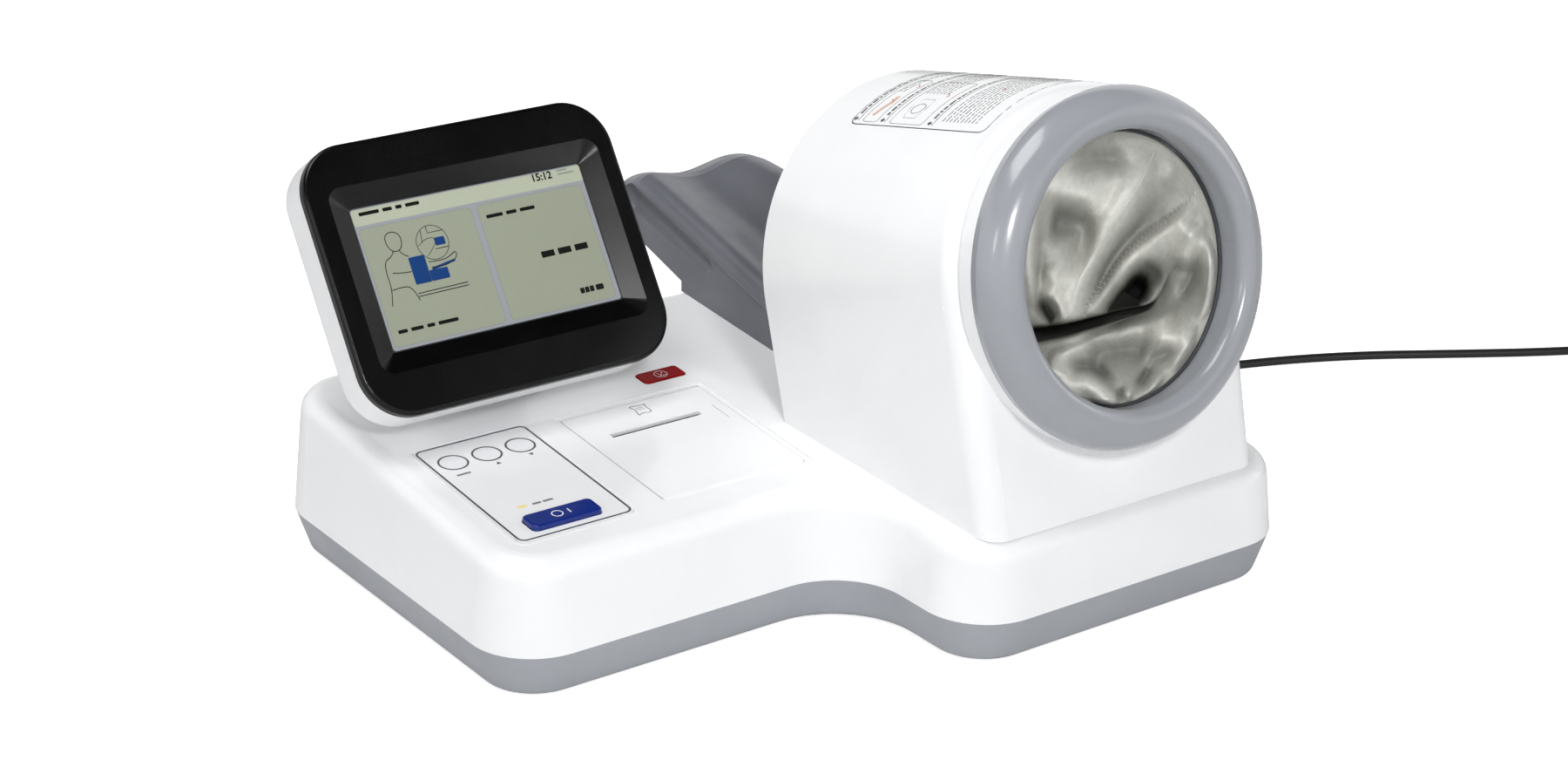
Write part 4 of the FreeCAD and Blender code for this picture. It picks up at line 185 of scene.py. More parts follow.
def new_group(name: str, inputs: dict[str, float],
              outputs: Sequence[str]) -> tuple[NodeSheet, bpy.types.Node, bpy.types.Node]:
    """Start a node group with a Vector input and number inputs and outputs.

    Args:
        name: the group's name.
        inputs: default value of each number input.
        outputs: names of its number outputs.

    Returns:
        The group's node sheet, its input node and its output node.
    """
    tree = bpy.data.node_groups.new(name, "ShaderNodeTree")
    tree.interface.new_socket("Vector", in_out="INPUT", socket_type="NodeSocketVector")
    for label, value in inputs.items():
        socket = tree.interface.new_socket(label, in_out="INPUT", socket_type="NodeSocketFloat")
        socket.default_value = value
    for label in outputs:
        tree.interface.new_socket(label, in_out="OUTPUT", socket_type="NodeSocketFloat")
    sheet = NodeSheet(tree)
    return sheet, sheet.add("NodeGroupInput"), sheet.add("NodeGroupOutput")


def build_grain_group() -> bpy.types.NodeTree:
    """Moulding grain: fine pits over a soft unevenness, as a height from 0 to 1."""
    sheet, given, result = new_group("moulding_grain", {"Scale": 900.0, "Softness": 0.4}, ["Height"])
    place, scale, softness = (given.outputs[name] for name in ("Vector", "Scale", "Softness"))
    swell_scale = sheet.math("MULTIPLY", scale, 0.12)
    pits = sheet.add("ShaderNodeTexNoise", Vector=place, Scale=scale, Detail=3.0, Roughness=0.6)
    swell = sheet.add("ShaderNodeTexNoise", Vector=place, Scale=swell_scale, Detail=2.0, Roughness=0.5)
    fine = sheet.math("MULTIPLY", pits.outputs["Fac"], sheet.math("SUBTRACT", 1.0, softness))
    broad = sheet.math("MULTIPLY", swell.outputs["Fac"], softness)
    sheet.feed(result, Height=sheet.math("ADD", fine, broad))
    return sheet.tree


def build_handling_group() -> bpy.types.NodeTree:
    """Traces of handling: broad smears and sparse specks of dust, as two masks."""
    sheet, given, result = new_group("handling", {"Scale": 14.0, "Specks": 600.0}, ["Smear", "Dust"])
    place, scale, specks = (given.outputs[name] for name in ("Vector", "Scale", "Specks"))
    smear = sheet.add("ShaderNodeTexNoise", Vector=place, Scale=scale, Detail=5.0, Roughness=0.62,
                      Distortion=0.6).outputs["Fac"]
    cells = sheet.add("ShaderNodeTexVoronoi", feature="F1", Vector=place, Scale=specks)
    dots = sheet.ramp(cells.outputs["Distance"], low=0.0, high=0.16, start=1.0, end=0.0)
    patchy = sheet.ramp(smear, low=0.45, high=0.6)
    sheet.feed(result, Smear=sheet.ramp(smear, low=0.38, high=0.66),
               Dust=sheet.math("MULTIPLY", dots, patchy))
    return sheet.tree


def build_weave_group() -> bpy.types.NodeTree:
    """Twill weave on the cloth's own UV map, in metres: a height, and a mask of the threads' shade."""
    sheet, given, result = new_group("twill_weave", {"Threads": 1400.0}, ["Height", "Shade"])
    place, threads = given.outputs["Vector"], given.outputs["Threads"]
    split = sheet.add("ShaderNodeSeparateXYZ", Vector=place)
    along, across = (sheet.math("MULTIPLY", split.outputs[axis], threads) for axis in "XY")
    warp = sheet.math("SINE", sheet.math("MULTIPLY", along, math.tau))
    twill = sheet.math("SINE", sheet.math("MULTIPLY", sheet.math("ADD", along, across), math.pi))
    height = sheet.math("ADD", sheet.math("MULTIPLY", warp, 0.3), sheet.math("MULTIPLY", twill, 0.4))
    slub = sheet.add("ShaderNodeTexNoise", Vector=place, Scale=190.0, Detail=4.0, Roughness=0.7)
    sheet.feed(result, Height=sheet.ramp(height, low=-0.7, high=0.7),
               Shade=sheet.ramp(slub.outputs["Fac"], low=0.3, high=0.7))
    return sheet.tree


GRAIN = build_grain_group()
HANDLING = build_handling_group()
WEAVE = build_weave_group()


# ------------------------------------------------------------------ finishes

def new_material(name: str) -> tuple[bpy.types.Material, NodeSheet]:
    """Start a material and return it with its node sheet."""
    material = bpy.data.materials.new(name)
    material.use_nodes = True
    return material, NodeSheet(material.node_tree)


@dataclass(frozen=True)
class Moulded:
    """A moulded finish, plastic or rubber, with grain, smears and dust of its own.

    Attributes:
        name: the material's name.
        base: display colour of the clean surface.
        worn: display colour where it is handled.
        roughness: of the clean surface.
        smear: how much rougher smears are.
        coat: weight of the clear, smooth top.
        grain: grains per metre.
        depth: height of the grain, in metres.
        softness: share of broad unevenness in the grain.
        dust: how strongly specks of dust lighten it.
        gloss: the shader's specular level.
        coat_roughness: of the clear top.
        dust_colour: display colour of dust.
    """

    name: str
    base: Shade
    worn: Shade
    roughness: float
    smear: float = 0.06
    coat: float = 0.0
    grain: float = 900.0
    depth: float = 0.00002
    softness: float = 0.4
    dust: float = 0.0
    gloss: float = 0.5
    coat_roughness: float = 0.04
    dust_colour: Shade = (200, 200, 200)

    def build(self) -> bpy.types.Material:
        """Make the material."""
        material, sheet = new_material(self.name)
        place = sheet.coordinates("Object")
        marks = sheet.add("ShaderNodeGroup", node_tree=HANDLING, Vector=place).outputs
        tone = sheet.mix(marks["Smear"], colour(self.base), colour(self.worn))
        if self.dust:
            tone = sheet.mix(sheet.math("MULTIPLY", marks["Dust"], self.dust), tone, colour(self.dust_colour))
        rough = sheet.ramp(marks["Smear"], 0.0, 1.0, self.roughness, self.roughness + self.smear)
        grain = sheet.add("ShaderNodeGroup", node_tree=GRAIN, Vector=place, Scale=self.grain,
                          Softness=self.softness)
        normal = sheet.bump(grain.outputs["Height"], self.depth)
        sheet.paint(Base_Color=tone, Roughness=rough, Specular_IOR_Level=self.gloss, Coat_Weight=self.coat,
                    Coat_Roughness=self.coat_roughness, Normal=normal)
        return material


@dataclass(frozen=True)
class Metal:
    """A metal finish with fine turning or rolling lines, some per metre, darker and rougher in places."""

    name: str
    base: Shade
    roughness: float
    lines: float = 1500.0
    stretch: float = 0.08
    darkest: float = 0.8
    spread: float = 0.14

    def build(self) -> bpy.types.Material:
        """Make the material."""
        material, sheet = new_material(self.name)
        place = sheet.coordinates("Object")
        drawn = sheet.add("ShaderNodeMapping", Vector=place,
                          Scale=(self.lines, self.lines * self.stretch, self.lines))
        lines = sheet.add("ShaderNodeTexNoise", Vector=drawn.outputs["Vector"], Scale=1.0,
                          Detail=3.0).outputs["Fac"]
        dark = tuple(int(part * self.darkest) for part in self.base)
        sheet.paint(Base_Color=sheet.mix(lines, colour(self.base), colour(dark)), Metallic=1.0,
                    Roughness=sheet.ramp(lines, 0.3, 0.7, self.roughness, self.roughness + self.spread))
        return material


@dataclass(frozen=True)
class Ink:
    """Printed or displayed colour on a carrier's surface, slightly uneven, with blots per metre."""

    name: str
    base: Shade
    roughness: float = 0.35
    unevenness: float = 0.06
    blots: float = 700.0

    def build(self) -> bpy.types.Material:
        """Make the material."""
        material, sheet = new_material(self.name)
        place = sheet.coordinates("Object")
        blots = sheet.add("ShaderNodeTexNoise", Vector=place, Scale=self.blots, Detail=3.0)
        paler = tuple(int(part + (255 - part) * self.unevenness) for part in self.base)
        sheet.paint(Base_Color=sheet.mix(blots.outputs["Fac"], colour(self.base), colour(paler)),
                    Roughness=self.roughness)
        return material


@dataclass(frozen=True)
class Satin:
    """Satin cloth with a fine twill on its own UV map, and painted shade: mixed towards a dark colour where a
    point attribute of the cloth marks fold valleys and the sleeve's inside.
    """

    name: str
    base: Shade
    shade: Shade
    # Colour of the painted shade in fold valleys and inside the sleeve.
    painted_shade: Shade
    threads: float = 1400.0
    depth: float = 0.00006
    roughness: Pair = (0.62, 0.5)
    metallic: float = 0.15
    gloss: float = 0.35

    def build(self) -> bpy.types.Material:
        """Make the material."""
        material, sheet = new_material(self.name)
        weave = sheet.add("ShaderNodeGroup", node_tree=WEAVE, Vector=sheet.coordinates("UV"),
                          Threads=self.threads).outputs
        cloth = sheet.mix(weave["Shade"], colour(self.base), colour(self.shade))
        # Painted shade: the cloth's point attribute mixes its colour towards the dark one in fold valleys and
        # inside the sleeve.
        depth = sheet.add("ShaderNodeAttribute", attribute_name="painted_shade_share").outputs["Fac"]
        sheet.paint(Base_Color=sheet.mix(depth, cloth, colour(self.painted_shade)), Metallic=self.metallic,
                    Roughness=sheet.ramp(weave["Height"], 0.0, 1.0, *self.roughness),
                    Specular_IOR_Level=self.gloss, Normal=sheet.bump(weave["Height"], self.depth))
        return material


FINISHES = {finish.name: finish.build() for finish in (
    Moulded("housing_white", (244, 245, 246), (241, 242, 244), 0.22, 0.05, 0.35, 500.0, 0.000012, 0.8),
    Moulded("panel_white", (238, 239, 240), (234, 235, 237), 0.34, 0.05, 0.0, 1500.0, 0.00001),
    Moulded("key_white", (233, 234, 236), (228, 229, 232), 0.3, 0.06, 0.1, 1200.0, 0.00001),
    Moulded("tray_grey", (161, 164, 170), (156, 159, 165), 0.42, 0.08, 0.0, 1200.0, 0.00002),
    Moulded("ring_grey", (154, 157, 163), (152, 155, 161), 0.22, 0.0, 0.3, 260.0, 0.000008, 0.9),
    Moulded("rest_grey", (106, 108, 115), (98, 100, 108), 0.34, 0.1, 0.1, 900.0, 0.00001),
    Moulded("moulding_black", (3, 3, 4), (6, 6, 7), 0.2, 0.05, 0.0, 2200.0, 0.000012, 0.3, 0.05, 0.28),
    Moulded("cord_black", (14, 14, 15), (22, 22, 23), 0.42, 0.1, 0.0, 1500.0, 0.00001),
    Moulded("inner_plastic", (58, 59, 62), (48, 49, 52), 0.5),
    Moulded("soft_rubber", (30, 30, 31), (40, 40, 40), 0.72, 0.06, 0.0, 1400.0, 0.00004),
    Moulded("foot_rubber", (40, 41, 43), (52, 52, 54), 0.8, 0.05, 0.0, 1200.0, 0.00004),
    Moulded("start_blue", (8, 40, 130), (6, 32, 112), 0.16, 0.05, 0.15, 500.0, 0.00001, 0.8, 0.0, 0.4),
    Moulded("stop_red", (150, 6, 10), (134, 4, 8), 0.4, 0.05, 0.0, 500.0, 0.00001, 0.8, 0.0, 0.12),
    Moulded("lamp_clear", (250, 236, 150), (246, 226, 128), 0.3, 0.0, 0.4),
    Moulded("board_green", (24, 82, 48), (18, 66, 38), 0.4, 0.1, 0.3),
    Moulded("component_black", (22, 22, 24), (34, 34, 36), 0.5),
    Moulded("paper_white", (240, 240, 236), (232, 231, 226), 0.8, 0.02, 0.0, 2600.0, 0.00002),
    Moulded("thread_pale", (236, 236, 231), (226, 226, 220), 0.6),
    Moulded("edging_dark", (48, 50, 53), (84, 86, 90), 0.85, 0.05, 0.0, 1100.0, 0.0004, 0.2),
    Metal("steel", (186, 188, 190), 0.26),
    Metal("metal_case", (170, 173, 176), 0.4, 900.0),
    Ink("print_grey", (62, 64, 70)),
    Ink("print_faint", (112, 114, 120)),
    Ink("print_dark", (46, 48, 52)),
    Ink("print_skin", (214, 176, 150)),
    Ink("print_white", (232, 232, 234)),
    Ink("print_red", (176, 52, 44)),
    Ink("screen_ground", (150, 155, 138), 0.12, 0.05),
    Ink("screen_line", (150, 154, 160), 0.12, 0.05),
    Ink("screen_dark", (22, 24, 22), 0.12, 0.0),
    Ink("screen_blue", (22, 58, 116), 0.12, 0.05),
    Ink("screen_pale", (176, 182, 162), 0.12, 0.05),
    Ink("screen_rule", (132, 136, 138), 0.12, 0.08),
    # Its last colour is painted shade for the sleeve's fold valleys and inside.
    Satin("sleeve_satin", (232, 232, 225), (212, 212, 205), (52, 52, 49)),
)}

NODE_FINISHES: dict[str, tuple[str, ...]] = {
    "housing_white": ("upper_housing", "tunnel_housing", "display_shell", "display_neck", "printer_lid",
                      "rear_panel"),
    "panel_white": ("control_panel",),
    "key_white": ("mode_key", "up_key", "down_key"),
    "tray_grey": ("lower_tray",),
    "ring_grey": ("entry_ring",),
    "rest_grey": ("arm_rest", "rest_cover"),
    "moulding_black": ("display_bezel", "power_switch", "power_rocker"),
    "cord_black": ("cord_gland", "mains_plug"),
    "inner_plastic": ("cuff_drum", "paper_well", "print_mechanism", "paper_spindle", "platen_gear",
                      "valve_block"),
    "soft_rubber": ("cuff_bladder", "pump_hose", "cuff_hose", "pump_mounts", "platen_roller"),
    "foot_rubber": ("rubber_feet",),
    "steel": ("case_screws", "deck_screws", "display_screws", "neck_screws", "board_screws", "hinge_pin",
              "hinge_washers", "platen_shaft", "motor_pinion"),
    "metal_case": ("paper_motor", "power_supply", "air_pump", "exhaust_valve"),
    "start_blue": ("start_button",),
    "stop_red": ("stop_button",),
    "lamp_clear": ("power_light",),
    "board_green": ("button_board", "stop_board", "main_board"),
    "component_black": ("tact_switches", "board_components", "print_head", "lcd_panel"),
    "paper_white": ("paper_roll",),
}


def dress(piece: Piece, finish: str) -> None:
    """Give a piece one finish in place of what it has."""
    piece.data.materials.clear()
    piece.data.materials.append(FINISHES[finish])


def dress_nodes() -> None:
    """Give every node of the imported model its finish."""
    for finish, names in NODE_FINISHES.items():
        for name in names:
            dress(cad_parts[name], finish)


# ------------------------------------------------------------------ modelling tools

def deselect() -> None:
    """Leave nothing selected."""
    if bpy.context.mode != "OBJECT":
        bpy.ops.object.mode_set(mode="OBJECT")
    bpy.ops.object.select_all(action="DESELECT")


def edit(*steps: Callable[[], object]) -> None:
    """Run steps in edit mode on the active object, all of it selected at the start."""
    bpy.ops.object.mode_set(mode="EDIT")
    bpy.ops.mesh.select_all(action="SELECT")
    for step in steps:
        step()
    bpy.ops.object.mode_set(mode="OBJECT")


def raise_by(height: float) -> Callable[[], object]:
    """Step that extrudes the selection straight up by a height and turns all faces outwards."""
    def step() -> None:
        """Extrude and recalculate."""
        bpy.ops.mesh.extrude_region_move(TRANSFORM_OT_translate={"value": (0.0, 0.0, height)})
        bpy.ops.mesh.select_all(action="SELECT")
        bpy.ops.mesh.normals_make_consistent(inside=False)
    return step


def open_middle(rim: float) -> Callable[[], object]:
    """Step that cuts the middle out of a flat face and leaves a rim, unless the rim is zero."""
    def step() -> None:
        """Inset by the rim and delete what is left inside."""
        if rim:
            bpy.ops.mesh.select_all(action="SELECT")
            bpy.ops.mesh.inset(thickness=rim)
            bpy.ops.mesh.delete(type="FACE")
            bpy.ops.mesh.select_all(action="SELECT")
    return step


def slide(x: float, y: float, z: float = 0.0, turn: float = 0.0) -> Matrix:
    """Matrix of a place in a tilted frame and a turn about its third axis, in degrees."""
    return Matrix.Translation((x, y, z)) @ Matrix.Rotation(math.radians(turn), 4, "Z")


def shifted(piece: Piece, matrix: Matrix) -> Piece:
    """Move a piece's mesh within the drawing it is part of."""
    piece.data.transform(matrix @ piece.matrix_world)
    piece.matrix_world = Matrix.Identity(4)
    return piece


def finished(piece: Piece, name: str, body: Body, finish: str) -> Piece:
    """Name a piece whose mesh is in place, dress it, let it ride on a body and report it.

    Args:
        piece: the object.
        name: the piece's name.
        body: the body it rides on.
        finish: name of its finish.

    Returns:
        The piece.
    """
    piece.name = name
    piece.data.name = name
    dress(piece, finish)
    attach(piece, body.value)
    LOG.info("built %s", name)
    return piece


def seat(piece: Piece, name: str, matrix: Matrix, body: Body, finish: str) -> Piece:
    """Bring a piece to its place, given as a matrix, and finish it as finished() does."""
    return finished(shifted(piece, matrix), name, body, finish)


def plate(width: float, depth: float, radius: float, thickness: float, hollow: float = 0.0) -> Piece:
    """Rounded plate about the origin, standing on z = 0.

    Args:
        width, depth: outer size.
        radius: of its corners.
        thickness: height above z = 0.
        hollow: width of the rim that is left when its middle is cut out, or zero for a full plate.

    Returns:
        The plate's object.
    """
    deselect()
    bpy.ops.mesh.primitive_plane_add(size=1.0)
    piece = bpy.context.object
    piece.scale = (width, depth, 1.0)
    bpy.ops.object.transform_apply(location=False, rotation=False, scale=True)
    edit(lambda: bpy.ops.mesh.bevel(offset=radius, segments=8, affect="VERTICES"), open_middle(hollow),
         raise_by(thickness))
    return piece


def new_curve(name: str, radius: float, resolution: tuple[int, int]) -> Piece:
    """Start a curve object with a round section.

    Args:
        name: the object's name.
        radius: of its section.
        resolution: steps between points, and steps round the section.

    Returns:
        The object, with no spline yet.
    """
    data = bpy.data.curves.new(name, "CURVE")
    data.dimensions = "3D"
    data.bevel_depth = radius
    data.resolution_u, data.bevel_resolution = resolution
    piece = bpy.data.objects.new(name, data)
    bpy.context.scene.collection.objects.link(piece)
    return piece


def add_spline(curve: Piece, points: Sequence[Point], closed: bool = False, smooth: bool = True) -> None:
    """Add one line to a curve.

    Args:
        curve: the curve object.
        points: the places that the line follows.
        closed: whether it returns to its start.
        smooth: whether it runs in curves.
    """
    spline = curve.data.splines.new("NURBS" if smooth else "POLY")
    spline.points.add(len(points) - 1)
    for point, place in zip(spline.points, points):
        point.co = (*place, 1.0)
    spline.use_cyclic_u = closed
    if smooth:
        spline.order_u = 3
        spline.use_endpoint_u = not closed


def strokes(lines: Sequence[Sequence[Spot]], width: float, thickness: float,
            closed: bool = False, smooth: bool = True) -> Piece:
    """Drawn lines of even width as one thin flat mesh, lying on z = 0.

    Args:
        lines: the places that each line follows.
        width: of the lines.
        thickness: of the mesh.
        closed: whether each line returns to its start.
        smooth: whether they run in curves.

    Returns:
        The lines' object.
    """
    deselect()
    piece = new_curve("line", width / 2, resolution=(6, 1))
    piece.data.use_fill_caps = True
    for points in lines:
        add_spline(piece, [(*spot, 0.0) for spot in points], closed, smooth)
    piece.select_set(True)
    bpy.context.view_layer.objects.active = piece
    bpy.ops.object.convert(target="MESH")
    piece = bpy.context.object
    piece.data.transform(Matrix.Diagonal((1.0, 1.0, 2 * thickness / width, 1.0)))
    return piece


def joined(pieces: Iterable[Piece]) -> Piece:
    """Several objects as one mesh."""
    parts = list(pieces)
    deselect()
    for piece in parts:
        piece.select_set(True)
    bpy.context.view_layer.objects.active = parts[0]
    if len(parts) > 1:
        bpy.ops.object.join()
    return bpy.context.object


def laid_on(piece: Piece, carrier: Piece, start: Callable[[Vector], Vector],
            aim: Callable[[Vector], Vector]) -> Piece:
    """Lay a flat drawing on the surface of another object.

    Args:
        piece: drawing in millimetres, whose z is its height off the surface.
        carrier: the object that carries it.
        start: gives the place that each point's ray comes from, in metres.
        aim: gives the place that the ray heads for, in metres.

    Returns:
        The piece, its mesh on the surface.
    """
    for vertex in piece.data.vertices:
        origin = start(vertex.co)
        heading = (aim(vertex.co) - origin).normalized()
        found, place, _, _ = carrier.ray_cast(origin, heading)
        if not found:
            raise ValueError(f"{piece.name} runs off the surface that carries it")
        vertex.co = place - heading * vertex.co.z * MM
    return piece


# ------------------------------------------------------------------ flat shapes

class Shape(Protocol):
    """A flat shape in a drawing, in millimetres."""

    def draw(self, thickness: float) -> Piece:
        """Make the shape as a thin mesh."""


@dataclass(frozen=True)
class Block:
    """A rounded plate: its size, corner, place and turn, and the width of its rim if it is hollow."""

    width: float
    depth: float
    corner: float
    x: float = 0.0
    y: float = 0.0
    turn: float = 0.0
    rim: float = 0.0

    def draw(self, thickness: float) -> Piece:
        """Make the block as a thin mesh."""
        piece = plate(self.width, self.depth, self.corner, thickness, self.rim)
        return shifted(piece, slide(self.x, self.y, turn=self.turn))


@dataclass(frozen=True)
class Disc:
    """A round or many-sided plate: its radius, place and turn, and the width of its rim if it is hollow."""

    radius: float
    x: float = 0.0
    y: float = 0.0
    rim: float = 0.0
    sides: int = 48
    turn: float = 0.0

    def draw(self, thickness: float) -> Piece:
        """Make the disc as a thin mesh."""
        deselect()
        bpy.ops.mesh.primitive_circle_add(vertices=self.sides, radius=self.radius, fill_type="NGON")
        piece = bpy.context.object
        edit(open_middle(self.rim), raise_by(thickness))
        return shifted(piece, slide(self.x, self.y, turn=self.turn))


@dataclass(frozen=True)
class Stroke:
    """A drawn line: its places, its width, and whether it returns to its start and runs in curves."""

    points: Sequence[Spot]
    width: float
    closed: bool = False
    smooth: bool = True

    def draw(self, thickness: float) -> Piece:
        """Make the line as a thin mesh."""
        return strokes([self.points], self.width, thickness, self.closed, self.smooth)


@dataclass(frozen=True)
class Numerals:
    """Plain numerals: their text, size and place, bolder by a share of their size."""

    text: str
    size: float
    x: float
    y: float
    bolder: float = 0.024

    def draw(self, thickness: float) -> Piece:
        """Make the numerals as a thin mesh."""
        deselect()
        bpy.ops.object.text_add()
        data = bpy.context.object.data
        data.body = self.text
        data.size = self.size
        data.align_x = "CENTER"
        data.align_y = "CENTER"
        data.extrude = thickness / 2
        data.offset = self.size * self.bolder
        data.resolution_u = 3
        bpy.ops.object.convert(target="MESH")
        return shifted(bpy.context.object, slide(self.x, self.y))


@dataclass(frozen=True)
class Mark:
    """A thin flat piece on one of the machine's faces.

    Attributes:
        name: the piece's name.
        finish: name of its finish.
        place: where its drawing lies in the face's frame.
        shapes: what it is drawn of.
        thickness: of the piece.
        body: the body it rides on.
    """

    name: str
    finish: str
    place: Point
    shapes: Sequence[Shape]
    thickness: float
    body: Body = Body.BASE

    def build(self, face: TiltedFrame) -> None:
        """Draw the piece and seat it on its face."""
        drawing = joined(shape.draw(self.thickness) for shape in self.shapes)
        seat(drawing, self.name, face.matrix() @ slide(*self.place), self.body, self.finish)


# ------------------------------------------------------------------ studio

@dataclass(frozen=True)
class ViewPoint:
    """The camera: where it stands, which way it looks, and its lens, sensor and reach."""

    place: Point = (-0.96140, -1.35838, 0.78783)
    azimuth: float = -35.784
    elevation: float = 22.278
    roll: float = 0.571
    lens: float = 69.034
    sensor: float = 36.0
    reach: float = 30.0

    def build(self) -> None:
        """Make the camera and let the scene use it."""
        turn, rise, roll = (math.radians(value) for value in (self.azimuth, self.elevation, self.roll))
        back = Vector((math.sin(turn) * math.cos(rise), -math.cos(turn) * math.cos(rise), math.sin(rise)))
        level = Vector((math.cos(turn), math.sin(turn), 0.0))
        upright = back.cross(level)
        right = level * math.cos(roll) + upright * math.sin(roll)
        up = upright * math.cos(roll) - level * math.sin(roll)
        data = bpy.data.cameras.new("camera")
        data.sensor_width = self.sensor
        data.lens = self.lens
        data.clip_end = self.reach
        camera = bpy.data.objects.new("camera", data)
        camera.matrix_world = Matrix.Translation(self.place) @ Matrix((right, up, back)).transposed().to_4x4()
        bpy.context.scene.collection.objects.link(camera)
        bpy.context.scene.camera = camera


@dataclass(frozen=True)
class Lamp:
    """A soft rectangular lamp that faces a point."""

    name: str
    place: Point
    aim: Point
    width: float
    height: float
    power: float

    def build(self) -> None:
        """Make the lamp."""
        data = bpy.data.lights.new(self.name, "AREA")
        data.shape = "RECTANGLE"
        data.size = self.width
        data.size_y = self.height
        data.energy = self.power
        lamp = bpy.data.objects.new(self.name, data)
        lamp.location = self.place
        lamp.rotation_euler = (Vector(self.place) - Vector(self.aim)).to_track_quat("Z", "Y").to_euler()
        bpy.context.scene.collection.objects.link(lamp)


@dataclass(frozen=True)
class Studio:
    """White floor, white surroundings and soft lamps.

    Attributes:
        floor_size, floor_drop: side of the floor, and how far it lies below the feet.
        floor_tone, floor_roughness: its own surface.
        floor_glow: how much it shines towards the camera alone.
        ambient, overhead: strength of the surroundings at the horizon and overhead.
        dusk: heights on the dome between which the first gives way to the second.
        white: what the camera sees round the object.
        lamps: the lamps.
    """

    floor_size: float = 16.0
    floor_drop: float = 0.0002
    floor_tone: tuple[float, ...] = (0.86, 0.86, 0.86, 1.0)
    floor_roughness: float = 0.7
    floor_glow: float = 0.8
    ambient: float = 0.67
    overhead: float = 0.04
    dusk: Pair = (0.53, 0.59)
    white: tuple[float, ...] = (1.0, 1.0, 1.0, 1.0)
    lamps: tuple[Lamp, ...] = (
        Lamp("overhead", (-0.5, 0.1, 2.2), (0.0, 0.0, 0.1), 1.4, 1.0, 25.5),
        Lamp("left_window", (-2.3, -1.0, 1.5), (0.0, 0.0, 0.15), 0.3, 0.5, 4.0),
        Lamp("right_fill", (2.2, -0.9, 0.7), (0.1, -0.1, 0.15), 0.6, 0.9, 2.5),
        Lamp("key", (-0.9, -2.2, 1.7), (0.1, -0.1, 0.2), 0.4, 0.4, 30.0))

    def build(self) -> None:
        """Set up the light, the world and the floor."""
        bpy.context.scene.view_settings.view_transform = "Standard"
        for lamp in self.lamps:
            lamp.build()
        self.build_world()
        self.build_floor()

    def build_world(self) -> None:
        """Even light round the horizon, dimmer overhead, which the camera sees as white."""
        world = bpy.data.worlds.new("surroundings")
        bpy.context.scene.world = world
        world.use_nodes = True
        sheet = NodeSheet(world.node_tree)
        height = sheet.add("ShaderNodeSeparateXYZ", Vector=sheet.coordinates("Generated")).outputs["Z"]
        dome = sheet.ramp(height, *self.dusk, self.ambient, self.overhead)
        mirrored = sheet.ramp(height, *self.dusk, 1.0, self.overhead)
        path = sheet.add("ShaderNodeLightPath").outputs
        seen = sheet.math("MAXIMUM", path["Is Camera Ray"], path["Is Transmission Ray"])
        gloss = sheet.math("MULTIPLY", path["Is Glossy Ray"], mirrored)
        strength = sheet.math("MAXIMUM", sheet.math("MAXIMUM", seen, gloss), dome)
        sheet.feed(sheet.tree.nodes["Background"], Color=self.white, Strength=strength)

    def build_floor(self) -> None:
        """Pale floor that keeps the object's shadow and looks white to the camera."""
        deselect()
        bpy.ops.mesh.primitive_plane_add(size=self.floor_size, location=(0.0, 0.0, -self.floor_drop))
        floor = bpy.context.object
        floor.name = "floor"
        material, sheet = new_material("floor")
        path = sheet.add("ShaderNodeLightPath").outputs
        glow = sheet.math("MULTIPLY", path["Is Camera Ray"], self.floor_glow)
        sheet.paint(Base_Color=self.floor_tone, Roughness=self.floor_roughness, Emission_Color=self.white,
                    Emission_Strength=glow)
        floor.data.materials.append(material)


# ------------------------------------------------------------------ power lead

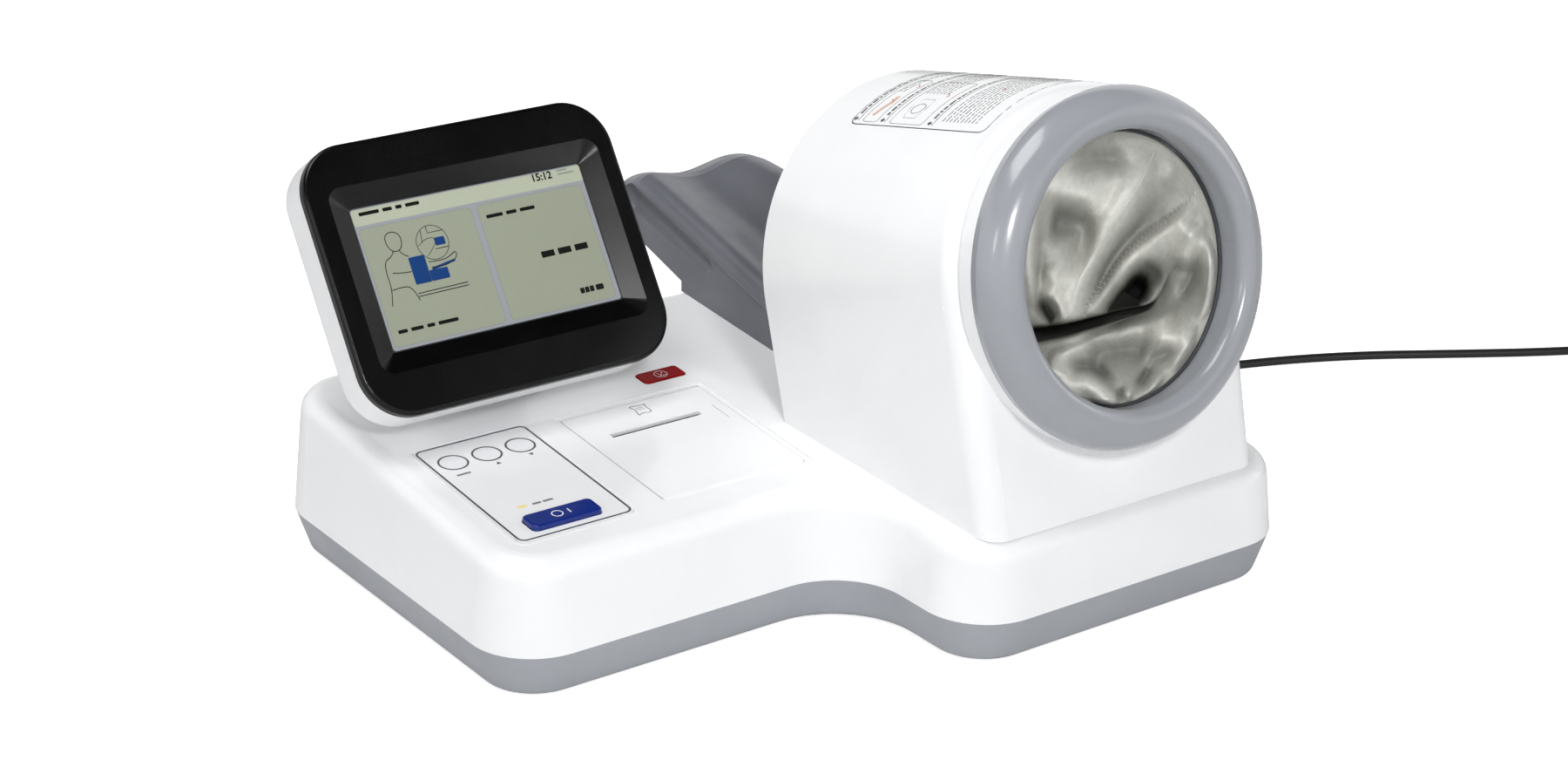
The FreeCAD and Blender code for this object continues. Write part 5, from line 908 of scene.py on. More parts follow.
@dataclass(frozen=True)
class PowerLead:
    """Black mains lead: its route on the floor, its coil and its last stretch to the plug.

    Attributes:
        radius: of the lead, in metres, as are all places and sizes but those named below.
        route: from the strain relief to the coil.
        coil, coil_radius: the coil's middle and its middle radius.
        turns_wide, layers, steps: turns side by side, layers, and points in a turn.
        coil_start: angle at which the lead enters the coil, in degrees.
        unwinding: how it leaves the coil: angles in degrees, radii and heights in millimetres.
        tail: the last stretch.
        length: measured along the lead; not used.
        tie_angle: of the strap round the turns, in degrees.
        tie_width, tie_thickness: of the strap, in millimetres.
    """

    radius: float = 0.003
    route: tuple[Point, ...] = (
        (0.190, 0.205, 0.018), (0.191, 0.236, 0.016), (0.198, 0.268, 0.0095), (0.217, 0.296, 0.0036),
        (0.250, 0.309, 0.003), (0.283, 0.296, 0.003), (0.301, 0.262, 0.003), (0.306, 0.218, 0.003),
        (0.313, 0.168, 0.003), (0.333, 0.117, 0.003), (0.371, 0.077, 0.003), (0.423, 0.051, 0.003),
        (0.478, 0.032, 0.003), (0.530, 0.007, 0.003), (0.584, -0.027, 0.003), (0.642, -0.062, 0.003),
        (0.688, -0.084, 0.003), (0.714, -0.0915, 0.003))
    coil: Spot = (0.698, -0.134)
    coil_radius: float = 0.033
    turns_wide: int = 3
    layers: int = 2
    steps: int = 16
    coil_start: float = 68.0
    unwinding: tuple[Point, ...] = (
        (68.0, 39.0, 9.0), (45.5, 39.0, 9.0), (23.0, 39.0, 9.0), (0.5, 39.5, 8.8), (-22.0, 41.0, 7.8),
        (-44.5, 43.5, 5.7), (-67.0, 45.0, 3.6), (-89.5, 45.5, 3.0), (-110.0, 45.5, 3.0))
    tail: tuple[Point, ...] = ((0.676, -0.173, 0.003), (0.634, -0.173, 0.003))
    length: float = 2.15
    tie_angle: float = 205.0
    tie_width: float = 9.0
    tie_thickness: float = 0.7

    def round_coil(self, degrees: float, radius: float, height: float) -> Point:
        """Place at an angle and a radius round the coil's middle."""
        angle = math.radians(degrees)
        return self.coil[0] + radius * math.cos(angle), self.coil[1] + radius * math.sin(angle), height

    def coil_points(self) -> list[Point]:
        """Turns of the coil, from its outer turn on the floor inwards, up and out again."""
        pitch = 2 * self.radius
        last = self.turns_wide - 1
        points = []
        for layer in range(self.layers):
            for number in range(self.turns_wide * self.steps):
                turn = number / self.steps
                inward = turn if layer == 0 else last * (1.0 - turn / self.turns_wide)
                radius = self.coil_radius + last * self.radius - min(inward, last) * pitch
                degrees = self.coil_start - 360.0 * (turn + layer * self.turns_wide)
                points.append(self.round_coil(degrees, radius, self.radius + layer * pitch))
        points += [self.round_coil(degrees, radius * MM, height * MM)
                   for degrees, radius, height in self.unwinding]
        return points

    def build_tie(self) -> Piece:
        """Rubber strap round the coil's turns."""
        turn = math.radians(self.tie_angle)
        outward = Vector((math.cos(turn), math.sin(turn), 0.0))
        upward = Vector((0.0, 0.0, 1.0))
        middle = Vector((*self.coil, self.layers * self.radius)) + outward * self.coil_radius
        axes = Matrix((outward, upward, outward.cross(upward))).transposed().to_4x4()
        radius = self.radius / MM
        strap = plate(self.turns_wide * 2 * radius + 2 * self.tie_thickness, self.layers * 2 * radius, radius,
                      self.tie_width, self.tie_thickness)
        shifted(strap, slide(0.0, 0.0, -self.tie_width / 2))
        return seat(strap, "lead_tie", Matrix.Translation(middle) @ axes @ Matrix.Scale(MM, 4), Body.BASE,
                    "soft_rubber")

    def build(self) -> None:
        lead = new_curve("mains_lead", self.radius, resolution=(8, 5))
        add_spline(lead, [*self.route, *self.coil_points(), *self.tail])
        finished(lead, "mains_lead", Body.BASE, "cord_black")
        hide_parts("power_cord", "cord_coil", "cord_tail")
        self.build_tie()


# ------------------------------------------------------------------ display

@dataclass(frozen=True)
class ScreenPicture:
    """What the liquid crystal shows: panes, bars in place of captions, dashes and a pictogram.

    Places are millimetres from the picture's middle. Each layer lies a step above the one below.

    Attributes:
        lift, layer: height of the lowest layer off the display, and the step from layer to layer.
        panes: of each of the two, its name, the place of its middle across and its width.
        pane_height, pane_level, pane_corner, pane_line: of both panes and their edges.
        captions: name of each row, where it starts across and up, and the lengths of its bars.
        word, word_gap: height and corner of a caption's bars, and the gap between them.
        ground, strip: the whole picture, and the strip along its top.
        time, small_marks: the time, and two bars beside it.
        dashes, unit: three dashes in place of a value, and bars in place of its unit.
        figure: faceless outline of a sitter beside a table, one arm forward.
        device: block, foot and arm rest that stand for the machine.
        inset, inset_button: round inset with a panel's edge and a hand's outline, and its button.
    """

    lift: float = 0.04
    layer: float = 0.05
    panes: tuple[tuple[str, float, float], ...] = (("left", -38.6, 73.6), ("right", 38.0, 72.0))
    pane_height: float = 71.6
    pane_level: float = -5.2
    pane_corner: float = 3.0
    pane_line: float = 0.25
    captions: tuple[tuple[str, float, float, tuple[float, ...]], ...] = (
        ("strip", -72.0, 39.2, (13, 6, 4, 9)), ("right", 6.5, 22.6, (11, 7, 10)),
        ("left", -70.5, -32.4, (6, 8, 5, 13)))
    word: Pair = (2.1, 0.6)
    word_gap: float = 2.4
    ground: Block = Block(153.6, 85.4, 2.0)
    strip: Block = Block(153.6, 9.6, 1.0, 0.0, 37.2)
    time: Numerals = Numerals("15:12", 6.4, 50.0, 39.4)
    small_marks: tuple[Block, ...] = (Block(7.0, 0.8, 0.2, 64.5, 41.1), Block(11.0, 0.8, 0.2, 66.5, 38.9))
    dashes: tuple[Block, ...] = tuple(Block(8.8, 3.8, 0.2, across, -6.6) for across in (38.3, 49.8, 61.3))
    unit: tuple[Block, ...] = (
        Block(2.8, 3.4, 0.3, 52.9, -32.8), Block(2.8, 3.4, 0.3, 56.2, -32.8),
        Block(2.8, 3.4, 0.3, 59.5, -32.8), Block(5.2, 3.4, 0.6, 64.9, -32.8))
    figure: tuple[Shape, ...] = (
        Stroke(((-61, 18), (-61, 24), (-56, 26), (-51.2, 23.6), (-51, 18), (-53.6, 13.8), (-58.4, 13.8)),
               0.5, closed=True),
        Stroke(((-58.2, 14.2), (-59.6, 11.4), (-65, 9.6), (-66.4, 3), (-66, -4), (-66.8, -10), (-69, -17)),
               0.5),
        Stroke(((-54.2, 14), (-53.6, 11.4), (-49.6, 9.4)), 0.5),
        Stroke(((-62.6, 1.8), (-58, 0.6), (-50.8, 0.4)), 0.5),
        Stroke(((-66, -8), (-58, -7), (-53, -9), (-51, -17)), 0.5),
        Stroke(((-38.4, 3.8), (-30, 3), (-24, 4.6), (-20, 7), (-19.4, 4.6), (-22, 1.6), (-30, -0.6),
                (-37.6, 0.4)), 0.5),
        Stroke(((-51, -13), (-18, -12.6)), 0.5, smooth=False),
        Stroke(((-51, -14.8), (-18, -14.4)), 0.5, smooth=False))
    device: tuple[Block, ...] = (
        Block(10.4, 16.4, 0.8, -45.2, 0.4), Block(12.0, 6.6, 0.8, -33.9, -4.4),
        Block(16.0, 1.5, 0.5, -29.5, 0.6, 9.0))
    inset: tuple[Shape, ...] = (
        Disc(10.4, -32.2, 14.6, 0.3, 64),
        Stroke(((-41.8, 14), (-37, 17.4), (-31, 17.6), (-29.6, 15.4), (-33, 11), (-37.8, 7)), 0.3),
        Stroke(((-33.6, 24.6), (-33.6, 20.6), (-23.4, 20.6)), 0.42, smooth=False),
        Stroke(((-37.6, 22.8), (-38.6, 15.8)), 0.42, smooth=False),
        Stroke(((-31.6, 10.4), (-22.8, 10.4)), 0.42, smooth=False))
    inset_button: Block = Block(6.6, 4.8, 0.7, -27.4, 14.6)

    def lay(self, name: str, finish: str, level: int, *shapes: Shape) -> None:
        """Draw a piece and put it on a layer of the screen.

        Args:
            name: the piece's name.
            finish: name of its finish.
            level: number of its layer, from the lowest.
            shapes: what it is drawn of.
        """
        place = (0.0, 0.0, self.lift + level * self.layer)
        Mark(name, finish, place, shapes, self.layer, Body.DISPLAY).build(DISPLAY)

    def caption(self, start: float, up: float, words: Sequence[float]) -> list[Block]:
        """Short bars that stand where a caption would be.

        Args:
            start, up: where the row starts across, and its place up the picture.
            words: lengths of its bars.

        Returns:
            The bars.
        """
        bars = []
        for word in words:
            bars.append(Block(word, *self.word, start + word / 2, up))
            start += word + self.word_gap
        return bars

    def build(self) -> None:
        """Draw the picture's layers from the lowest to the highest."""
        self.lay("screen_ground", "screen_line", 0, self.ground)
        self.lay("screen_strip", "screen_pale", 1, self.strip)
        for name, across, width in self.panes:
            pane = Block(width, self.pane_height, self.pane_corner, across, self.pane_level)
            self.lay(f"screen_pane_{name}", "screen_ground", 1, pane)
            self.lay(f"screen_edge_{name}", "screen_rule", 2, replace(pane, rim=self.pane_line))
        for name, start, up, words in self.captions:
            self.lay(f"screen_caption_{name}", "screen_dark", 3, *self.caption(start, up, words))
        self.lay("screen_time", "screen_dark", 3, self.time)
        self.lay("screen_small_marks", "screen_rule", 3, *self.small_marks)
        self.lay("screen_dashes", "screen_dark", 3, *self.dashes)
        self.lay("screen_unit", "screen_dark", 3, *self.unit)
        self.lay("screen_figure", "screen_dark", 4, *self.figure)
        self.lay("screen_device", "screen_blue", 3, *self.device)
        self.lay("screen_inset", "screen_dark", 4, *self.inset)
        self.lay("screen_inset_button", "screen_blue", 3, self.inset_button)


# ------------------------------------------------------------------ deck

@dataclass(frozen=True)
class PanelMarks:
    """Printing on the key panel: its border, rings round the keys, arrows and a bar by the lamp.

    Places are millimetres across and up the deck.

    Attributes:
        top, print_height: height of the panel's top, and thickness of the printing.
        border: printed line round the panel.
        rim, rim_height: raised rim, which stands on the deck.
        keys: name of each round key and its place across.
        key_ring: printed ring, moved to each key.
        arrow_up, arrow_down, key_bar: marks below the keys.
        lamp_mark: bars below the lamp.
    """

    top: float = 0.4
    print_height: float = 0.05
    border: Block = Block(73.6, 120.4, 5.0, -174.8, 93.45, rim=1.3)
    rim: Block = Block(80.6, 127.6, 7.5, -174.8, 93.45, rim=1.6)
    rim_height: float = 0.25
    keys: tuple[tuple[str, float], ...] = (("left", -197.0), ("middle", -174.8), ("right", -152.6))
    key_ring: Disc = Disc(9.1, y=132.4, rim=1.2)
    arrow_up: Disc = Disc(1.9, -174.8, 119.2, sides=3)
    arrow_down: Disc = Disc(1.9, -152.6, 120.0, sides=3, turn=180.0)
    key_bar: Block = Block(9.0, 1.8, 0.6, -198.6, 117.4)
    lamp_mark: tuple[Block, ...] = (Block(5.6, 1.9, 0.5, -180.8, 67.6), Block(6.6, 1.9, 0.5, -173.5, 67.6))

    def lay(self, name: str, finish: str, *shapes: Shape) -> None:
        """Print a piece on the panel's top."""
        Mark(name, finish, (0.0, 0.0, self.top), shapes, self.print_height).build(DECK)

    def build(self) -> None:
        """Print the panel and raise its rim."""
        self.lay("panel_border", "print_grey", self.border)
        Mark("panel_rim", "housing_white", (0.0, 0.0, 0.0), (self.rim,), self.rim_height).build(DECK)
        for name, across in self.keys:
            self.lay(f"key_ring_{name}", "print_grey", replace(self.key_ring, x=across))
        self.lay("key_arrow_up", "print_grey", self.arrow_up)
        self.lay("key_arrow_down", "print_grey", self.arrow_down)
        self.lay("key_bar", "print_faint", self.key_bar)
        self.lay("lamp_mark", "print_faint", *self.lamp_mark)


@dataclass(frozen=True)
class DeckMarks:
    """Generic marks on the two large buttons and on the printer's lid.

    The start button has a ring and a bar, the stop button a ring with an arrow down. The lid has the raised
    outline of a curling slip of paper, and the pull mark at its side.
    """

    start: Mark = Mark("start_mark", "print_white", (-176.8, 47.1, 3.4),
                       (Disc(3.5, -3.2, rim=0.7), Block(0.9, 4.4, 0.3, 4.4)), 0.04, Body.START)
    stop: Mark = Mark("stop_mark", "print_white", (-30.2, 171.0, 0.8), (
        Disc(4.3, rim=0.4, sides=64),
        Stroke(((-2, 2.2), (-0.4, -1.6), (2, 2.2)), 0.5, smooth=False),
        Stroke(((-2.4, -2.2), (2.4, -2.2)), 0.5, smooth=False)), 0.04, Body.STOP)
    slip: Mark = Mark("paper_icon", "print_grey", (-65.4, 138.0, -0.5), (
        Stroke(((-5.2, 5.6), (-3.4, 6.8), (3.6, 4.6), (5.6, 5.8)), 0.6),
        Stroke(((-5.2, 5.6), (-3.2, 1.8), (-4.6, -2), (-5, -5.6)), 0.6),
        Stroke(((5.6, 5.8), (4, 1.6), (5, -2), (4, -4.6)), 0.6),
        Stroke(((-5, -5.6), (-1, -3.2), (1.6, -5.4), (4, -4.6)), 0.6),
        Stroke(((-2.2, 3.2), (2.4, 2.4)), 0.3, smooth=False),
        Stroke(((-2.2, 1.2), (2.4, 0.4)), 0.3, smooth=False)), 0.12, Body.LID)
    pull: Mark = Mark("lid_pull_mark", "print_faint", (0.0, 0.0, -0.5),
                      (Stroke(((-25, 123), (-24.8, 114), (-25.2, 104)), 0.3),), 0.12, Body.LID)

    def build(self) -> None:
        """Draw the marks on the buttons and on the lid."""
        for mark in (self.start, self.stop, self.slip, self.pull):
            mark.build(DECK)


# ------------------------------------------------------------------ tunnel

@dataclass(frozen=True)
class TunnelLabel:
    """Instruction label over the tunnel's arch: bars and generic pictograms inside outlined columns.

    A drawing's x runs round the arch in millimetres from its top, and its y along the tunnel.

    Attributes:
        low, high: the label's ends round the arch.
        rear, front: its ends along the tunnel.
        radius: of the arch.
        reach: distance from the tunnel's axis from which the drawing is laid on.
        print_height: thickness of the printing.
        stretch: length of the short lines that bend with the arch.
        border: width and corner of the label's outline.
        columns: rear and front of each column of text.
        pictured: how many of them have a picture, from the rear.
        bullet: radius of the diamond at a column's head, and its places round and along.
        head, rule: of each, its distances from both ends of the label and from the column's rear, and its
            width.
        picture: where the outline round a picture starts and ends round the arch and along the column, and
            its width and corner.
        text: where rows start beside a picture and without one, their distance from the label's end and
            from the column's rear, and their width.
        row_pitch, row_room: distance between rows of text, and what a column keeps free of them.
        letters: shortest word, step from word length to word length, and gap between words.
        least_word: room that a word needs.
        arm, block: the small drawings.
        ticks, tick, tick_width: start of each tick, and its shape and width.
    """

    low: float = -66.0
    high: float = 58.0
    rear: float = -153.5
    front: float = -33.0
    radius: float = 110.0
    reach: float = 150.0
    print_height: float = 0.12
    stretch: float = 4.0
    border: Pair = (0.9, 5.0)
    columns: tuple[Spot, ...] = ((-151.5, -131.0), (-126.8, -89.5), (-84.0, -37.0))
    pictured: int = 2
    bullet: Point = (1.8, 4.5, 0.4)
    head: tuple[float, ...] = (9.0, 14.0, 0.4, 2.1)
    rule: tuple[float, ...] = (3.0, 6.0, 3.4, 0.6)
    picture: tuple[float, ...] = (2.5, 52.0, 7.5, 0.4, 2.5)
    text: tuple[float, ...] = (34.0, 7.0, 8.0, 9.5, 0.85)
    row_pitch: float = 3.2
    row_room: float = 12.0
    letters: Point = (1.8, 0.9, 1.2)
    least_word: float = 3.0
    arm: Stroke = Stroke(((-58, -139), (-50, -137), (-44, -134.5), (-38, -136.5)), 3.0)
    block: tuple[Shape, ...] = (
        Stroke(((-58, -101), (-48, -99), (-39, -101), (-39, -111), (-49, -113.5), (-58, -111)), 0.4,
               closed=True, smooth=False),
        Disc(5.0, -49.0, -106.0, 0.4))
    ticks: tuple[Spot, ...] = ((-46, -136), (-26, -134), (-35, -96), (-22, -60))
    tick: tuple[Spot, ...] = ((0.0, 0.0), (1.4, 1.6), (4.4, -1.8))
    tick_width: float = 0.9

    def wrap(self, piece: Piece, name: str, finish: str) -> None:
        """Lay a drawing on the tunnel's cover.

        Args:
            piece: the drawing.
            name: the piece's name.
            finish: name of its finish.
        """
        matrix = TUNNEL.matrix()

        def spot(place: Vector, reach: float) -> Vector:
            """Place at a distance from the tunnel's axis, beyond a point of the drawing."""
            angle = place.x / self.radius
            return matrix @ Vector((reach * math.sin(angle), reach * math.cos(angle), place.y))

        laid_on(piece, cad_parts["tunnel_housing"], lambda place: spot(place, self.reach),
                lambda place: spot(place, 0.0))
        finished(piece, name, Body.BASE, finish)

    def wrap_lines(self, lines: Sequence[Sequence[Spot]], width: float, name: str, finish: str) -> None:
        """Draw straight lines of one width as one piece and lay it on the cover."""
        self.wrap(strokes(lines, width, self.print_height, smooth=False), name, finish)

    def wrap_shapes(self, shapes: Iterable[Shape], name: str, finish: str) -> None:
        """Draw shapes as one piece and lay it on the cover."""
        self.wrap(joined(shape.draw(self.print_height) for shape in shapes), name, finish)

    def run(self, start: float, end: float, y: float, width: float) -> Stroke:
        """Line round the arch, in short lengths so that it bends with the cover.

        Args:
            start, end: its ends round the arch.
            y: its place along the tunnel.
            width: of the line.

        Returns:
            The line.
        """
        count = max(2, int(abs(end - start) / self.stretch) + 1)
        points = [(start + (end - start) * number / (count - 1), y) for number in range(count)]
        return Stroke(points, width, smooth=False)

    def box(self, x0: float, x1: float, y0: float, y1: float, width: float, corner: float) -> Stroke:
        """Rounded outline round the arch.

        Args:
            x0, x1: its ends round the arch.
            y0, y1: its ends along the tunnel.
            width: of its line.
            corner: radius of its corners.

        Returns:
            The outline, in short lengths so that it bends with the cover.
        """
        points = []
        span = x1 - x0 - 2 * corner
        for x, y, turn, way in ((x0, y0, 180, 0), (x0, y1, 90, 1), (x1, y1, 0, 0), (x1, y0, 270, -1)):
            middle_x = x + (corner if x == x0 else -corner)
            middle_y = y + (corner if y == y0 else -corner)
            for step in range(5):
                angle = math.radians(turn + 90.0 - 22.5 * step)
                points.append((middle_x + corner * math.cos(angle), middle_y + corner * math.sin(angle)))
            if way:
                points.extend((middle_x + way * span * share / 12, y) for share in range(1, 12))
        return Stroke(points, width, closed=True, smooth=False)

    def words(self, start: float, end: float, y: float, seed: int) -> list[list[Spot]]:
        """Short lines in place of a row of words.

        Args:
            start, end: where the row starts and ends round the arch.
            y: its place along the tunnel.
            seed: number that the lines' lengths follow from.

        Returns:
            The two ends of each line.
        """
        shortest, step, gap = self.letters
        row = []
        while start < end - self.least_word:
            length = shortest + (seed * 7 % 5) * step
            row.append([(start, y), (min(start + length, end), y)])
            start += length + gap
            seed += 1
        return row

    def build(self) -> None:
        """Print the label: its frame, a head and rows of text in each column, and the drawings."""
        outlines: list[Shape] = [self.box(self.low, self.high, self.rear, self.front, *self.border)]
        heads = []
        lines = []
        radius, bullet_x, bullet_y = self.bullet
        head_start, head_end, head_y, head_width = self.head
        rule_start, rule_end, rule_y, rule_width = self.rule
        box_start, box_end, box_y, box_width, box_corner = self.picture
        beside, alone, text_end, text_y, text_width = self.text
        for index, (rear, front) in enumerate(self.columns):
            pictured = index < self.pictured
            outlines.append(Disc(radius, self.low + bullet_x, rear + bullet_y, sides=4))
            heads.extend(self.words(self.low + head_start, self.high - head_end, rear + head_y, index + 2))
            outlines.append(self.run(self.low + rule_start, self.high - rule_end, rear + rule_y, rule_width))
            if pictured:
                outlines.append(self.box(self.low + box_start, self.low + box_end, rear + box_y, front,
                                         box_width, box_corner))
            first = self.low + (beside if pictured else alone)
            for row in range(int((front - rear - self.row_room) / self.row_pitch)):
                y = rear + text_y + row * self.row_pitch
                lines.extend(self.words(first, self.high - text_end, y, row + index * 3))
        self.wrap_shapes(outlines, "label_frame", "print_dark")
        self.wrap_lines(heads, head_width, "label_heads", "print_dark")
        self.wrap_lines(lines, text_width, "label_lines", "print_dark")
        self.wrap_shapes([self.arm], "label_arm", "print_skin")
        self.wrap_shapes(self.block, "label_block", "print_grey")
        ticks = [[(x + across, y + along) for across, along in self.tick] for x, y in self.ticks]
        self.wrap_lines(ticks, self.tick_width, "label_ticks", "print_red")


# ------------------------------------------------------------------ cuff sleeve

def bell(values: np.ndarray, middle: float, width: float) -> np.ndarray:
    """Smooth rise to one round a middle value."""
    return np.exp(-((values - middle) / width) ** 2)


def growing(values: np.ndarray, start: float, over: float) -> np.ndarray:
    """Even rise from zero at a start to one, over a stretch that is below zero for a fall."""
    return np.clip((values - start) / over, 0.0, 1.0)


def waves(around: np.ndarray, count: int, sway: float, slower: int) -> np.ndarray:
    """Waves round the sleeve whose spacing sways with a slower wave."""
    return np.sin(count * math.tau * around + sway * np.sin(slower * math.tau * around))


@dataclass(frozen=True)
class Fold:
    """A fold of the sleeve, drawn across the mouth.

    Attributes:
        line: its crest, in millimetres across and up the mouth's plane.
        rise: how far the cloth stands out along it, below zero for a valley.
        left, right: how wide it is on the left and on the right of its line, going along it.
        edge: how abruptly its flanks end.
        fades: shares of its length over which it grows at its start and dies away at its end.
    """

    line: tuple[Spot, ...]
    rise: float
    left: float
    right: float
    edge: float = 1.7
    fades: Pair = (0.35, 0.35)

    def rounded(self) -> np.ndarray:
        """The line with its corners cut twice."""
        points = np.array(self.line, dtype=float)
        for _ in range(2):
            starts, ends = points[:-1], points[1:]
            cut = np.stack((starts * 0.75 + ends * 0.25, starts * 0.25 + ends * 0.75), axis=1).reshape(-1, 2)
            points = np.concatenate((points[:1], cut, points[-1:]))
        return points

    def height(self, across: np.ndarray, up: np.ndarray) -> np.ndarray:
        """Height of the fold at places on the mouth's plane.

        Args:
            across, up: the places, in millimetres.

        Returns:
            The height at each.
        """
        points = self.rounded()
        nearest = np.full_like(across, np.inf)
        side = np.zeros_like(across)
        along = np.zeros_like(across)
        travelled = 0.0
        for (x0, u0), (x1, u1) in zip(points, points[1:]):
            run_x, run_u = x1 - x0, u1 - u0
            run = math.hypot(run_x, run_u)
            share = np.clip(((across - x0) * run_x + (up - u0) * run_u) / run ** 2, 0.0, 1.0)
            off_x, off_u = across - x0 - share * run_x, up - u0 - share * run_u
            distance = np.hypot(off_x, off_u)
            closer = distance < nearest
            turn = (run_x * off_u - run_u * off_x) / (run * np.maximum(distance, 0.001))
            side = np.where(closer, turn, side)
            along = np.where(closer, travelled + share * run, along)
            nearest = np.where(closer, distance, nearest)
            travelled += run
        width = self.right + (self.left - self.right) * (side + 1.0) / 2
        grown = np.ones_like(across)
        for fade, run in zip(self.fades, (along / travelled, 1.0 - along / travelled)):
            if fade:
                part = np.clip(run / fade, 0.0, 1.0)
                grown = grown * (0.1 + 0.9 * part * part * (3.0 - 2.0 * part))
        return self.rise * grown * np.exp(-(nearest / width) ** self.edge)


@dataclass(frozen=True)
class Station:
    """A section of the sleeve: how far along the cloth it is, its depth, half sizes and middle."""

    share: float
    depth: float
    half_width: float
    half_height: float
    x: float = 0.0
    u: float = 0.0


@dataclass(frozen=True)
class Seam:
    """A line of stitches: its name and path, how far the thread swings to each side, and its width."""

    name: str
    line: tuple[Spot, ...]
    swing: float
    width: float

    def stitches(self, pitch: float) -> list[Spot]:
        """Places that the thread passes, swung to one side and the other in turn.

        Args:
            pitch: about how far apart they are.

        Returns:
            The places, across and up the mouth's plane.
        """
        points = []
        for (x0, u0), (x1, u1) in zip(self.line, self.line[1:]):
            run = math.hypot(x1 - x0, u1 - u0)
            steps = max(2, int(run / pitch))
            for step in range(steps):
                share = step / steps
                sway = self.swing if len(points) % 2 else -self.swing
                points.append((x0 + (x1 - x0) * share - (u1 - u0) / run * sway,
                               u0 + (u1 - u0) * share + (x1 - x0) / run * sway))
        return points


